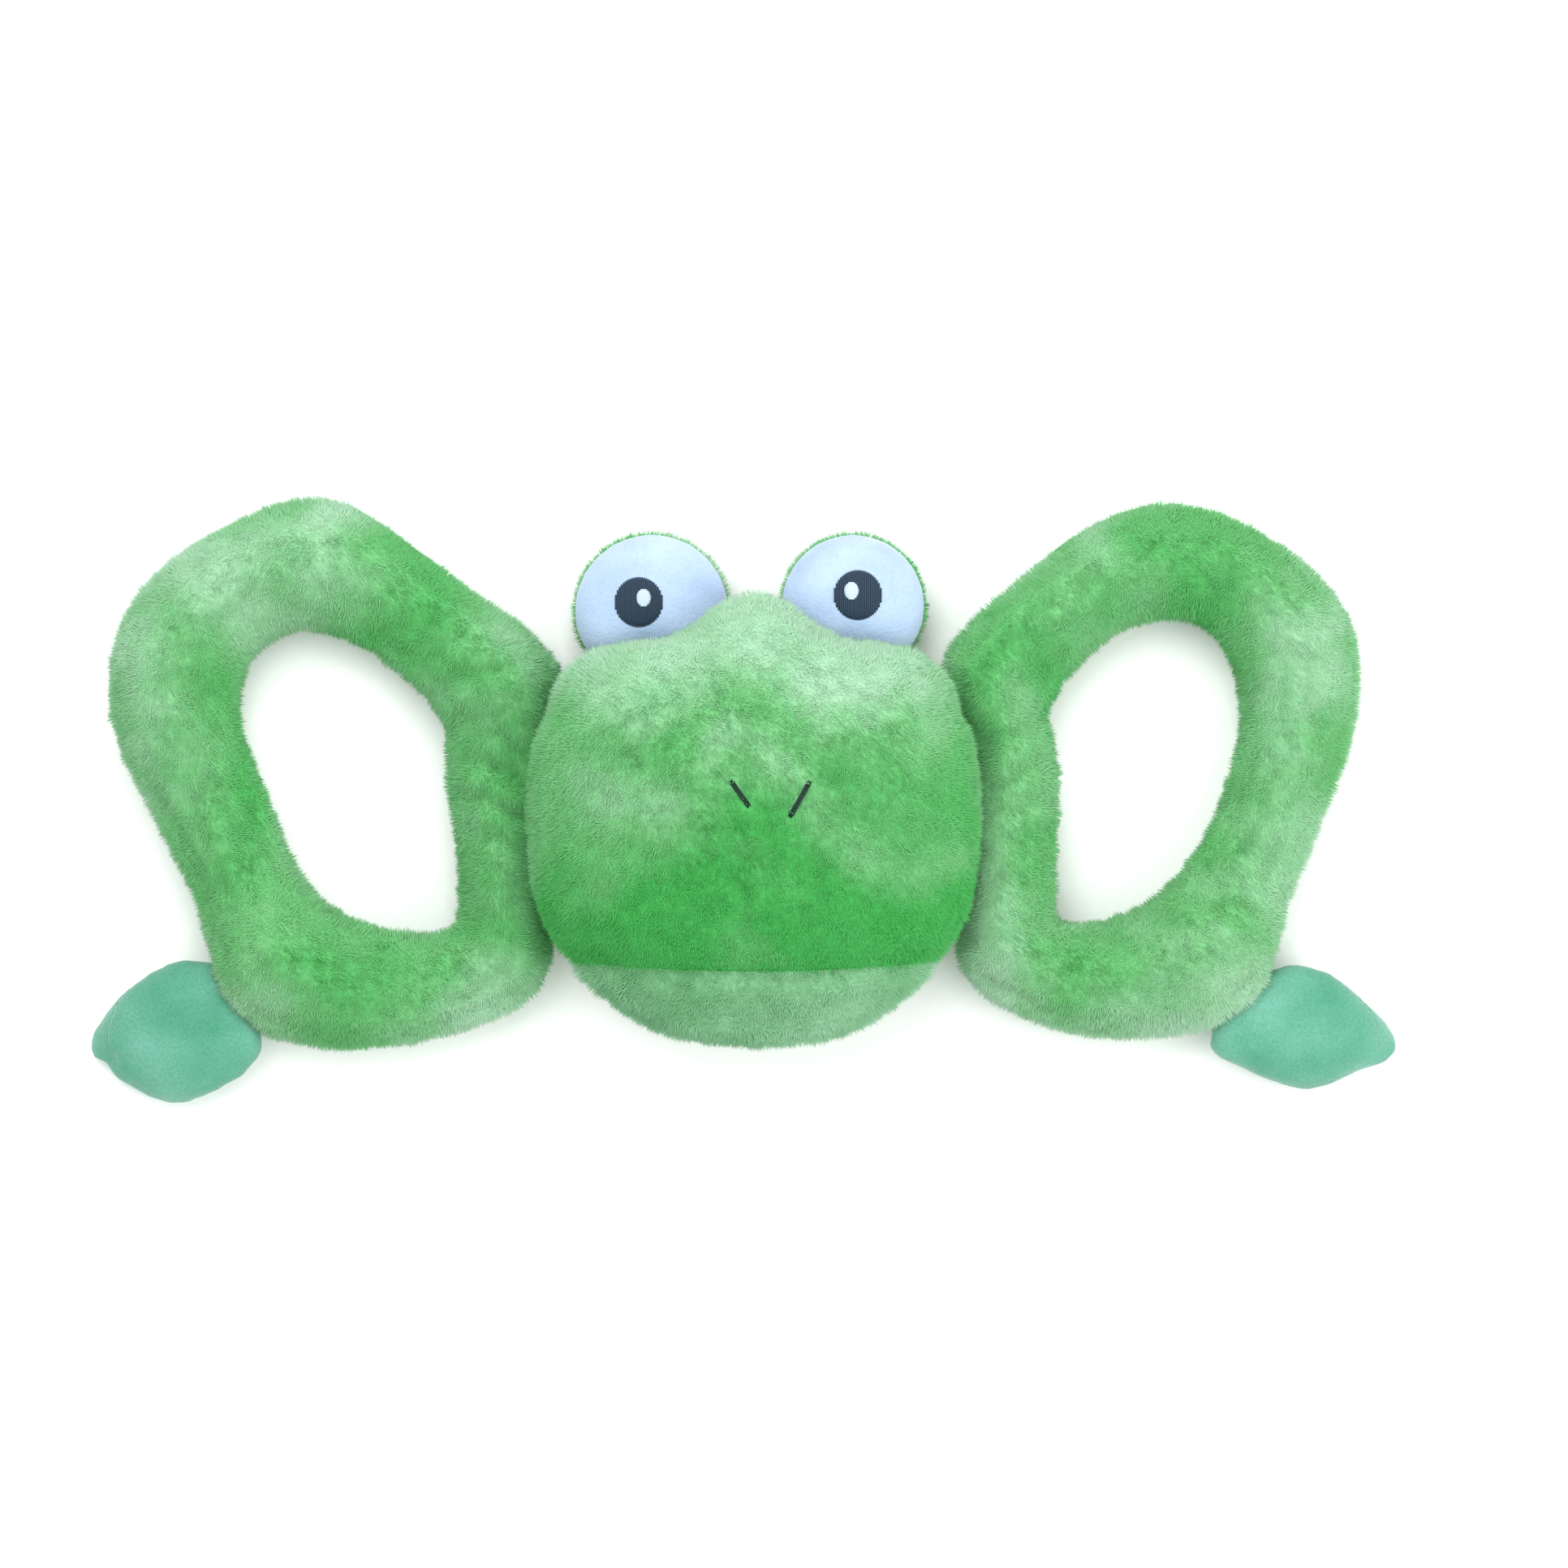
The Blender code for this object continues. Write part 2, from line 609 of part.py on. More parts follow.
def build_head_closing_stitch():
    """A zigzag of thread over the seam under the chin, where the head was filled."""
    points = []
    for step in range(STITCH_COUNT + 1):
        x = HEAD_STITCH_HALF_LENGTH * (2 * step / STITCH_COUNT - 1)
        turn = math.atan2(-SEAM_CHIN, x)
        radius = seam_edge(turn) + THREAD_RADIUS + THREAD_LIFT
        up = STITCH_REACH if step % 2 else -STITCH_REACH
        points.append((radius * math.cos(turn), radius * math.sin(turn), SEAM_HEIGHT + up))
    add_thread("head_closing_stitch", points, THREAD_RADIUS, GREEN_THREAD)


# --- Eyes -------------------------------------------------------------------------------------

def add_patch(name, eye, middle, radii, lift, thickness, material):
    """Embroidery: a thin lens that lies on the front of an eye."""
    def lens(unit, _):
        x, y = middle[0] + radii[0] * unit.x, middle[1] + radii[1] * unit.y
        height = eye_height(eye, x, y) + lift + thickness * (unit.z + 1) / 2
        centre = eye_centre(eye)
        return Vector((centre.x + x, centre.y + y, height))

    return add_mesh(name, ball_skin(lens, 0.0, PATCH_GRID), material)


def build_eye(side):
    eye = EYES[side]

    def skin_at(inset, half):
        return ball_skin(lambda unit, depth: eye_point(eye, unit, depth), inset, CUSHION_GRID, half)

    add_stuffed(f"{side}_eye", (("front_panel", EYE_CLOTH), ("back_panel", GREEN_PLUSH)), skin_at,
                EYE_WALL)
    pupil_radii = (eye["pupil_radius"], eye["pupil_radius"])
    add_patch(f"{side}_eye_pupil", eye, eye["pupil"], pupil_radii, PATCH_LIFT, PUPIL_THICKNESS,
              DARK_THREAD)
    glint = (eye["pupil"][0] + eye["glint"][0], eye["pupil"][1] + eye["glint"][1])
    glint_lift = PATCH_LIFT + PUPIL_THICKNESS + SEAM_GAP
    add_patch(f"{side}_eye_glint", eye, glint, GLINT_RADII, glint_lift, GLINT_THICKNESS,
              WHITE_THREAD)


# --- Hand loops and feet ----------------------------------------------------------------------

def build_loop(side):
    def skin_at(inset, half):
        return tube_skin(side, inset, LOOP_GRID, half)

    add_stuffed(f"{side}_loop", (("front_panel", GREEN_PLUSH), ("back_panel", GREEN_PLUSH)), skin_at,
                PLUSH_WALL)


def build_loop_closing_stitch(side):
    """A zigzag of thread over the outer seam at the top of a loop."""
    outer, hole = loop_edges(side, STITCH_EDGE_SAMPLES)
    station = STITCH_EDGE_SAMPLES / len(LOOP_STATIONS[side])
    first, last = (span * station for span in LOOP_STITCH_SPAN)
    points = []
    for step in range(STITCH_COUNT + 1):
        at = round(first + (last - first) * step / STITCH_COUNT)
        away = Vector(outer[at] - hole[at]).normalized()
        place = Vector(outer[at]) + away * (THREAD_RADIUS + THREAD_LIFT)
        up = STITCH_REACH if step % 2 else -STITCH_REACH
        points.append((place.x, place.y, SEAM_HEIGHT + up))
    add_thread(f"{side}_loop_closing_stitch", points, THREAD_RADIUS, GREEN_THREAD)


def build_foot(side):
    shape = foot_shape(side)

    def skin_at(inset, half):
        return ball_skin(shape, inset, CUSHION_GRID, half)

    add_stuffed(f"{side}_foot", (("upper_panel", AQUA_VELOUR), ("sole_panel", AQUA_VELOUR)), skin_at,
                VELOUR_WALL)


def build_side(side):
    eye = EYES[side]
    build_eye(side)
    hang_on_pivot(f"{side}_eye", (eye["x"], SEAM_CROWN + EYE_GAP / 2, SEAM_HEIGHT))
    build_loop(side)
    build_loop_closing_stitch(side)
    loop_pivot = hang_on_pivot(f"{side}_loop", (loop_axis(side), 0.0, SEAM_HEIGHT))
    build_foot(side)
    root = foot_frame(side)[0]
    hang_on_pivot(f"{side}_foot", (root.x, root.y, SEAM_HEIGHT), loop_pivot)


build_head()
build_squeaker()
build_nostrils()
build_head_closing_stitch()
for toy_side in SIDE_SIGN:
    build_side(toy_side)
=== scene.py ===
# %% [markdown]
# # A plush frog tug toy
# The toy is a stuffed frog head with two stuffed hand loops sewn to its sides, two ball eyes
# on its brow and a velour foot on each loop. It lies on its back and looks up.
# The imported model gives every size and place. This script dresses it: it stuffs each form like
# a cushion, cuts it into the cloth panels that a maker would sew, and grows a real pile of small
# tufts on the plush, because the pile is what gives the toy its soft outline.

# %% Load the frame
import json
import math

import bpy
import numpy as np
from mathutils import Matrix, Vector
from mathutils.bvhtree import BVHTree


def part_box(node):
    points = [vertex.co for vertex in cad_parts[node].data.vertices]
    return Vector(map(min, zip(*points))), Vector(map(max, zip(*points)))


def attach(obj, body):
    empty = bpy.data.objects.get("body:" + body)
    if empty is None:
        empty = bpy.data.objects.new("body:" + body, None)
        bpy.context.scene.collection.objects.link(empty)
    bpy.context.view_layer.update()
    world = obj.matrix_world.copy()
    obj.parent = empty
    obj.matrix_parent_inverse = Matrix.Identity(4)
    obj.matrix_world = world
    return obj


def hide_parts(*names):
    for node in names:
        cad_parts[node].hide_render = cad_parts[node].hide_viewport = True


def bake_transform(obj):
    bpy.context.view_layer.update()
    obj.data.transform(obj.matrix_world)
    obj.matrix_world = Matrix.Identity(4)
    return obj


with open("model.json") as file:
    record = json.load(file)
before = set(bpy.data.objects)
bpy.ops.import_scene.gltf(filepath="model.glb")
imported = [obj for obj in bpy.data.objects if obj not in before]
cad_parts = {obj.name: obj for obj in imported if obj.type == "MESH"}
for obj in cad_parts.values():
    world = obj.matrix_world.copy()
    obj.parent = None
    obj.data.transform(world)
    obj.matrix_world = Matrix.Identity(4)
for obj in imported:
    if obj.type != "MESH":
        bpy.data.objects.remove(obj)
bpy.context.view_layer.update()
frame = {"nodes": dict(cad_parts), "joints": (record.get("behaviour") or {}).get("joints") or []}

MM = 0.001
SEAM_HEIGHT = 0.019
SIDES = {"left": -1, "right": 1}
print("nodes loaded:", len(frame["nodes"]))

# %% [markdown]
# ## The camera, the floor and the light
# The camera looks straight down at the toy from nearly three metres, with a long lens, so that
# neither the high head nor the loops are stretched. Plush shows its pile best in even light with
# soft shadows. So the toy lies on a nearly white floor in a white surrounding, under two large
# area lights.

# %% The camera
CAMERA_PLACE = (0.0099, 0.0104, 2.878)
LENS, SENSOR = 200, 36

bpy.ops.object.camera_add(location=CAMERA_PLACE, rotation=(0, 0, 0))
camera = bpy.context.object
camera.name = "camera"
camera.data.lens, camera.data.sensor_width = LENS, SENSOR
bpy.context.scene.camera = camera
bpy.context.scene.view_settings.view_transform = "Standard"
print("camera height:", CAMERA_PLACE[2])

# %% Choosing what an operator acts on
def choose(obj, *others):
    """Makes obj active, with only it and the others selected."""
    if bpy.context.object and bpy.context.object.mode != "OBJECT":
        bpy.ops.object.mode_set(mode="OBJECT")
    bpy.ops.object.select_all(action="DESELECT")
    for each in (obj, *others):
        each.select_set(True)
    bpy.context.view_layer.objects.active = obj
    return obj


def settle(obj):
    """Puts obj's place, turn and scale into its mesh, so that its object is at the origin."""
    choose(obj)
    bpy.ops.object.transform_apply(location=True, rotation=True, scale=True)
    return obj


def finish_with(obj, kind, **settings):
    """Adds a modifier with these settings and applies it."""
    modifier = obj.modifiers.new(kind.lower(), kind)
    for key, value in settings.items():
        setattr(modifier, key, value)
    choose(obj)
    bpy.ops.object.modifier_apply(modifier=modifier.name)
    return obj


def dress(obj, finish):
    """Makes this finish the only one on obj."""
    obj.data.materials.clear()
    obj.data.materials.append(finish)


# %% The lights
LIT_POINT, LIGHT_WIDTH = (0, 0, 0.03), 0.9
LIGHTS = {"soft_light_above": ((-0.2, 0.55, 1.3), 13),
          "soft_light_side": ((0.95, -0.35, 1.0), 8)}
SURROUNDING = 1.06


def soft_light(name, place, power):
    """A square area light at place that faces the toy."""
    bpy.ops.object.light_add(type="AREA", location=place)
    light = bpy.context.object
    light.name = name
    light.data.size, light.data.energy = LIGHT_WIDTH, power
    turn = (Vector(LIT_POINT) - Vector(place)).to_track_quat("-Z", "Y")
    light.rotation_euler = turn.to_euler()


for name, (place, power) in LIGHTS.items():
    soft_light(name, place, power)
studio = bpy.data.worlds.new("white_studio")
studio.use_nodes = True
white = studio.node_tree.nodes["Background"].inputs
white["Color"].default_value = (1, 1, 1, 1)
white["Strength"].default_value = SURROUNDING
bpy.context.scene.world = studio
print("lights:", len(LIGHTS))

# %% [markdown]
# ## Writing a finish
# A finish is a material whose colour comes from a few noises. Sums are easier to read as
# expressions than as a list of nodes, so a small class holds one socket and turns + - * into
# Math nodes. Colours are given as a dyer would read them off a shade card, 0 to 255.

# %% Wires and finishes
def dye(red, green, blue):
    """A shade card colour as the linear colour that a shader wants."""
    def linear(v):
        v = v / 255
        return v / 12.92 if v <= 0.04045 else ((v + 0.055) / 1.055) ** 2.4
    return (linear(red), linear(green), linear(blue), 1)


class Wire:
    """One output of a finish's nodes, which can be used in sums."""
    def __init__(self, finish, socket):
        self.finish, self.socket = finish, socket

    def sum(self, operation, first, second):
        return self.finish.node("Math", {"operation": operation}, {0: first, 1: second})

    def __add__(self, other): return self.sum("ADD", self, other)
    def __radd__(self, other): return self.sum("ADD", other, self)
    def __sub__(self, other): return self.sum("SUBTRACT", self, other)
    def __rsub__(self, other): return self.sum("SUBTRACT", other, self)
    def __mul__(self, other): return self.sum("MULTIPLY", self, other)
    def __rmul__(self, other): return self.sum("MULTIPLY", other, self)


class Finish:
    """A material that is being written."""
    def __init__(self, name):
        self.material = bpy.data.materials.new(name)
        self.material.use_nodes = True
        self.tree = self.material.node_tree
        self.tree.nodes.clear()

    def node(self, kind, settings=None, values=None, out=0):
        """Adds a shader node, sets it, and gives the wire of one output."""
        made = self.tree.nodes.new("ShaderNode" + kind)
        for key, value in (settings or {}).items():
            if key == "stops":
                self.set_stops(made.color_ramp, value)
            else:
                setattr(made, key, value)
        for key, value in (values or {}).items():
            if isinstance(value, Wire):
                self.tree.links.new(value.socket, made.inputs[key])
            else:
                made.inputs[key].default_value = value
        return Wire(self, made.outputs[out])

    @staticmethod
    def set_stops(ramp, stops):
        while len(ramp.elements) < len(stops):
            ramp.elements.new(1)
        for element, (place, colour) in zip(ramp.elements, stops):
            element.position, element.color = place, colour

    def place(self):
        return self.node("TexCoord", out="Object")

    def noise(self, per_metre, detail=2, roughness=0.5, distortion=0.0):
        """A grey noise of that many grains in a metre, from about 0.25 to 0.75."""
        return self.node("TexNoise", {"noise_dimensions": "3D"}, {
            "Vector": self.place(), "Scale": per_metre, "Detail": detail,
            "Roughness": roughness, "Distortion": distortion})

    def spread(self, value, low, high):
        """Stretches low..high to 0..1 and stops there."""
        return self.node("MapRange", {"clamp": True}, {
            "Value": value, "From Min": low, "From Max": high})

    def ramp(self, value, stops):
        return self.node("ValToRGB", {"stops": stops}, {"Fac": value})

    def blend(self, share, first, second, how="MIX"):
        return self.node("Mix", {"data_type": "RGBA", "blend_type": how},
                         {0: share, 6: first, 7: second}, out=2)

    def bump(self, height, depth):
        return self.node("Bump", None, {"Height": height, "Distance": depth, "Strength": 1.0})

    def attribute(self, name):
        return self.node("Attribute", {"attribute_name": name}, out="Fac")

    def close(self, **values):
        """Ends the finish with a Principled shader, and gives the material."""
        sockets = {}
        for key, value in values.items():
            sockets[key.replace("_", " ").title().replace("Ior", "IOR")] = value
        shader = self.node("BsdfPrincipled", None, sockets)
        end = self.tree.nodes.new("ShaderNodeOutputMaterial")
        self.tree.links.new(shader.socket, end.inputs["Surface"])
        return self.material


print("shade card green:", [round(v, 3) for v in dye(120, 196, 127)])

# %% [markdown]
# ## The finishes
# Plush changes shade where its nap is brushed another way: it looks mint where the tips face the
# light and a deep green where they lean away. One wide noise gives those blotches, a finer one
# the tufts. Each tuft is darker at its root, where the others shade it, and carries a number of
# its own that shifts its shade a little.

# %% Plush
BLOTCHES, PATCHES, CLUMPS = 19, 60, 260  # grains in a metre
HOLE_EDGE, LOOP_EDGE = 0.036, 0.086
HOLE_PAINTED_SHADE, TUFT_SHADE, ROOT_SHADE = 0.4, 0.12, 0.84


def plush(name, deep, middle, mint, rise=(0, 0, 0, 0), hole=None, blotch=1.0):
    """The plush finish. rise is a low y and a high y in metres, and how much painted light and
    shade change the colour at each. hole is the middle of a hand hole: the colour is painted
    darker near it, as shade, and lighter toward the loop's outer edge. blotch is how strong the
    blotches are."""
    made = Finish(name)
    wide = made.noise(BLOTCHES, 1, 0.5, distortion=0.7)
    patches = made.noise(PATCHES, 1, 0.5, distortion=0.3)
    clumps = made.noise(CLUMPS, 2, 0.6)
    shade = 0.70 * wide + 0.23 * patches + 0.07 * clumps
    shade = made.spread(shade, 0.36, 0.64) * blotch + (1 - blotch) / 2
    # Painted light and shade along y: the colour moves by lowest at low y and by highest at high y.
    low, high, lowest, highest = rise
    if highest != lowest:
        y = made.node("SeparateXYZ", None, {0: made.place()}, out="Y")
        shade = shade + made.spread(y, low, high) * (highest - lowest) + lowest
    # Painted shade: the colour is darker near the hand hole's edge and lighter toward the loop's
    # outer edge.
    if hole:
        away = made.node("VectorMath", {"operation": "DISTANCE"},
                         {0: made.place(), 1: hole}, out="Value")
        shade = shade + (made.spread(away, HOLE_EDGE, LOOP_EDGE) - 0.62) * HOLE_PAINTED_SHADE
    shade = shade + (made.attribute("tuft") - 0.5) * TUFT_SHADE
    colour = made.ramp(shade, [(0.0, deep), (0.5, middle), (1.0, mint)])
    tip = made.attribute("tip") * (1 - ROOT_SHADE) + ROOT_SHADE
    grey = made.node("CombineColor", None, {0: tip, 1: tip, 2: tip})
    colour = made.blend(1.0, colour, grey, "MULTIPLY")
    return made.close(base_color=colour, roughness=0.9, sheen_weight=0.1,
                      sheen_roughness=0.5, sheen_tint=dye(180, 240, 180),
                      specular_ior_level=0.1)


# deep, middle and mint
GREENS = (dye(82, 187, 97), dye(129, 201, 137), dye(184, 224, 193))
HAND_HOLES = {"left": (-0.127, 0.010, 0.019), "right": (0.121, 0.012, 0.019)}
green_plush = plush("green_plush", *GREENS)
# The face is painted paler toward its top and darker down to the mouth, where it turns away from
# the light: painted light and shade, with some of the nap's own tone.
face_plush = plush("face_plush", *GREENS, rise=(-0.045, 0.055, -0.5, 0.42), blotch=0.6)
loop_plush = {side: plush(side + "_loop_plush", *GREENS, hole=hole, blotch=0.6)
              for side, hole in HAND_HOLES.items()}
chin_plush = plush("chin_plush", dye(129, 191, 140), dye(146, 203, 157), dye(163, 214, 174))
print("plush finishes: 5")


# %% Eye cloth and velour
def short_nap(name, shaded, plain, bright, grain, blotch):
    """A smooth cloth with a nap under a millimetre long. grain and blotch are grains in a metre."""
    made = Finish(name)
    wide = made.noise(blotch, 2, 0.5)
    nap = made.noise(grain, 3, 0.65)
    shade = made.spread(0.6 * wide + 0.4 * nap, 0.34, 0.66)
    colour = made.ramp(shade, [(0.0, shaded), (0.5, plain), (1.0, bright)])
    return made.close(base_color=colour, roughness=0.85, sheen_weight=0.4,
                      sheen_roughness=0.4, sheen_tint=(1, 1, 1, 1),
                      specular_ior_level=0.15, normal=made.bump(nap, 0.0004))


eye_cloth = short_nap("eye_cloth", dye(160, 181, 214), dye(170, 191, 222), dye(180, 200, 229),
                      grain=900, blotch=60)
aqua_velour = short_nap("aqua_velour", dye(64, 138, 108), dye(84, 151, 126), dye(106, 166, 146),
                        grain=1100, blotch=38)
print("cloth finishes: 2")


# %% Thread and plastic
def thread(name, dark, light):
    """Embroidery thread: two plies wind round it, which shows as fine slanting stripes."""
    made = Finish(name)
    turn = made.node("Mapping", None, {"Vector": made.place(), "Rotation": (0.4, 0.3, 0.9)})
    plies = made.node("TexWave", {"wave_type": "BANDS"},
                      {"Vector": turn, "Scale": 700.0, "Distortion": 1.5}, out="Fac")
    return made.close(base_color=made.blend(plies, dark, light), roughness=0.6,
                      specular_ior_level=0.2, normal=made.bump(plies, 0.0001))


def moulded(name, colour, light):
    """Thin moulded plastic with a faint grain."""
    made = Finish(name)
    grain = made.noise(1500, 2)
    return made.close(base_color=made.blend(grain, colour, light), roughness=0.45,
                      normal=made.bump(grain, 0.00005))


dark_thread = thread("dark_thread", dye(36, 52, 68), dye(58, 76, 94))
nostril_thread = thread("nostril_thread", dye(18, 38, 34), dye(36, 60, 52))
white_thread = thread("white_thread", dye(190, 210, 226), dye(216, 230, 240))
green_thread = thread("green_thread", dye(70, 160, 84), dye(110, 190, 118))
squeaker_plastic = moulded("squeaker_plastic", dye(226, 228, 224), dye(240, 241, 238))
print("thread and plastic finishes: 5")

# %% [markdown]
# ## The floor
# A sheet of nearly white paper, with a trace of grain. It is a plane that gets a thickness.

# %% The floor
bpy.ops.mesh.primitive_plane_add(size=6, location=(0, 0, 0))
floor = bpy.context.object
floor.name = "paper_floor"
paper = Finish("white_paper")
grain = paper.noise(300, 2)
dress(floor, paper.close(
    base_color=paper.blend(grain, dye(250, 250, 250), dye(254, 254, 254)), roughness=0.9))
finish_with(floor, "SOLIDIFY", thickness=0.002, offset=-1)
print("floor:", round(floor.dimensions.x, 1), "m")

# %% [markdown]
# ## Stuffing a form
# The head, loops, eyes and feet are cushions: sewn cloth pushed out by fibre. Each starts as a
# copy of its stuffing, a little fatter, is given an even net of faces, and is blown up as cloth
# with its seam held still, so that the cloth swells between the seams and pulls in along them.
# The move is capped, so that the form stays in the room that the model gives it.

# %% Mesh numbers
def corners(obj):
    """The mesh's points, one row each."""
    points = np.empty(len(obj.data.vertices) * 3, np.float32)
    obj.data.vertices.foreach_get("co", points)
    return points.reshape(-1, 3).astype(float)


def move_corners(obj, points):
    obj.data.vertices.foreach_set("co", np.ascontiguousarray(points, np.float32).ravel())
    obj.data.update()


def outward(obj):
    """The direction that the surface faces at each point."""
    facing = np.empty(len(obj.data.vertices) * 3, np.float32)
    obj.data.vertex_normals.foreach_get("vector", facing)
    return facing.reshape(-1, 3).astype(float)


def near(distance, width):
    """1 at no distance, falling smoothly to almost 0 at twice the width."""
    return np.exp(-(distance / width) ** 2)


# %% A copy of a stuffing
def free_copy(node, name):
    """A copy of a node that belongs to no body yet and has no finish."""
    copy = frame["nodes"][node].copy()
    copy.data = frame["nodes"][node].data.copy()
    copy.name = copy.data.name = name
    bpy.context.scene.collection.objects.link(copy)
    copy.parent = None
    for key in list(copy.keys()):
        del copy[key]
    copy.data.materials.clear()
    return copy


def stuffing_copy(part, name):
    """A copy of a part's stuffing whose loose triangles are merged."""
    copy = free_copy(part + "_stuffing", name)
    choose(copy)
    bpy.ops.object.mode_set(mode="EDIT")
    bpy.ops.mesh.select_all(action="SELECT")
    bpy.ops.mesh.remove_doubles(threshold=0.00002)
    bpy.ops.object.mode_set(mode="OBJECT")
    return copy


# %% The squeaker's pocket
HEAD_PANELS = ("head_face_panel", "head_chin_panel", "head_back_panel")
SKIN_DEPTH, LINING_GAP, HEAD_MIDDLE = 0.0016, 0.001, Vector((0, 0, 0.038))


def surface_of(obj):
    return BVHTree.FromObject(obj, bpy.context.evaluated_depsgraph_get())


def is_deep(point, shells):
    """True for a point inside the head, away from all its panels."""
    return min(shell.find_nearest(point)[3] for shell in shells) > SKIN_DEPTH


def close_squeaker_pocket(head):
    """The head's stuffing has a pocket for the squeaker. Its skin doesn't."""
    shells = [surface_of(frame["nodes"][panel]) for panel in HEAD_PANELS]
    deep = [is_deep(v.co, shells) for v in head.data.vertices]
    choose(head)
    bpy.ops.object.mode_set(mode="EDIT")
    bpy.ops.mesh.select_mode(type="VERT")
    bpy.ops.mesh.select_all(action="DESELECT")
    bpy.ops.object.mode_set(mode="OBJECT")
    head.data.vertices.foreach_set("select", deep)
    bpy.ops.object.mode_set(mode="EDIT")
    bpy.ops.mesh.delete(type="VERT")
    bpy.ops.mesh.select_all(action="SELECT")
    bpy.ops.mesh.fill_holes(sides=0)
    bpy.ops.object.mode_set(mode="OBJECT")
    return shells


def round_out_pocket(head, shells):
    """The closed pocket is flat. Its points are pushed out to the panels' lining, less a gap."""
    points, moved = corners(head), 0
    for i, point in enumerate(points):
        point = Vector(point)
        if is_deep(point, shells):
            way = (point - HEAD_MIDDLE).normalized()
            hits = [shell.ray_cast(point, way) for shell in shells]
            reach = min((hit[3] for hit in hits if hit[0] is not None), default=LINING_GAP)
            points[i] = point + way * (reach - LINING_GAP)
            moved += 1
    move_corners(head, points)
    return moved


# %% Swelling
def net_form(form, net):
    """Gives the form an even net of square faces."""
    form.data.remesh_voxel_size = net
    choose(form)
    bpy.ops.object.voxel_remesh()


PRESSURE, SWELL_STEPS = 4.0, 20


def stuff(form, net, grow, cap, spare=0.0):
    """Grows the netted form, blows it up as cloth and smooths it. cap is the most that a point
    may move, and spare how much slack the cloth has."""
    finish_with(form, "DISPLACE", strength=grow, mid_level=0.0)
    start = corners(form)
    seam = form.vertex_groups.new(name="seam")
    held = np.where(np.abs(start[:, 2] - SEAM_HEIGHT) < net * 0.6)[0]
    seam.add([int(i) for i in held], 1.0, "REPLACE")
    cloth = form.modifiers.new("stuffed", "CLOTH")
    cloth.settings.use_pressure = True
    cloth.settings.uniform_pressure_force = PRESSURE
    cloth.settings.effector_weights.gravity = 0
    cloth.settings.vertex_group_mass = "seam"
    cloth.settings.shrink_min = -spare
    cloth.point_cache.frame_start, cloth.point_cache.frame_end = 1, SWELL_STEPS
    for step in range(1, SWELL_STEPS + 1):
        bpy.context.scene.frame_set(step)
    choose(form)
    bpy.ops.object.modifier_apply(modifier=cloth.name)
    form.vertex_groups.clear()
    moved = corners(form) - start
    length = np.linalg.norm(moved, axis=1, keepdims=True)
    print(" ", form.name, "moved up to", round(float(length.max()) / MM, 1), "mm")
    move_corners(form, start + moved * np.minimum(1, cap / np.maximum(length, 1e-9)))
    bpy.context.scene.frame_set(1)
    finish_with(form, "SUBSURF", levels=1, render_levels=1)


# %% Seams
def pull_in(form, depth, amount):
    """Moves the surface inward by depth times amount, a number for each point."""
    move_corners(form, corners(form) - outward(form) * (depth * amount)[:, None])


def draw_seam(form, depth, width):
    """The thread draws the cloth in along the level seam."""
    pull_in(form, depth, near(corners(form)[:, 2] - SEAM_HEIGHT, width))


def flatten_on_floor(form, floor_gap):
    """What would be under the floor lies on it, a little above by the pile's thickness."""
    points = corners(form)
    points[:, 2] = np.maximum(points[:, 2], floor_gap)
    move_corners(form, points)


def part_at(form, name, point, facing):
    """Cuts the form along a plane. What lies on the side it faces becomes a piece called name."""
    choose(form)
    bpy.ops.object.mode_set(mode="EDIT")
    bpy.ops.mesh.select_all(action="SELECT")
    bpy.ops.mesh.bisect(plane_co=point, plane_no=facing)
    bpy.ops.mesh.select_all(action="DESELECT")
    bpy.ops.mesh.select_mode(type="FACE")
    bpy.ops.object.mode_set(mode="OBJECT")
    facing, point = Vector(facing), Vector(point)
    for face in form.data.polygons:
        face.select = (face.center - point).dot(facing) > 0
    bpy.ops.object.mode_set(mode="EDIT")
    bpy.ops.mesh.separate(type="SELECTED")
    bpy.ops.object.mode_set(mode="OBJECT")
    made = [o for o in bpy.context.selected_objects if o != form][0]
    made.name = made.data.name = name
    return made


# %% [markdown]
# ## The pile
# A plush pile is thousands of short tufts. One tuft is modelled: a thin three-sided cone that is
# open at its root, because the root is in the cloth. A geometry nodes tree scatters copies of it,
# evenly but not in rows, leans each along a nap that wanders over the cloth, and turns, scales
# and numbers it. The tree is applied, so the pile is a plain mesh.

# %% One tuft
def make_tuft():
    bpy.ops.object.select_all(action="DESELECT")
    bpy.ops.mesh.primitive_cone_add(vertices=3, radius1=0.5, radius2=0, depth=1,
                                    end_fill_type="NOTHING", location=(0, 0, 0.5))
    tuft = settle(bpy.context.object)
    tuft.name = "tuft"
    tip = tuft.data.attributes.new("tip", "FLOAT", "POINT")
    tip.data.foreach_set("value", np.clip(corners(tuft)[:, 2], 0, 1).astype(np.float32))
    choose(tuft)
    bpy.ops.object.mode_set(mode="EDIT")
    bpy.ops.mesh.select_all(action="SELECT")
    bpy.ops.mesh.normals_make_consistent(inside=False)
    bpy.ops.object.mode_set(mode="OBJECT")
    bpy.ops.object.shade_smooth()
    return tuft


TUFT = make_tuft()
print("tuft faces:", len(TUFT.data.polygons))


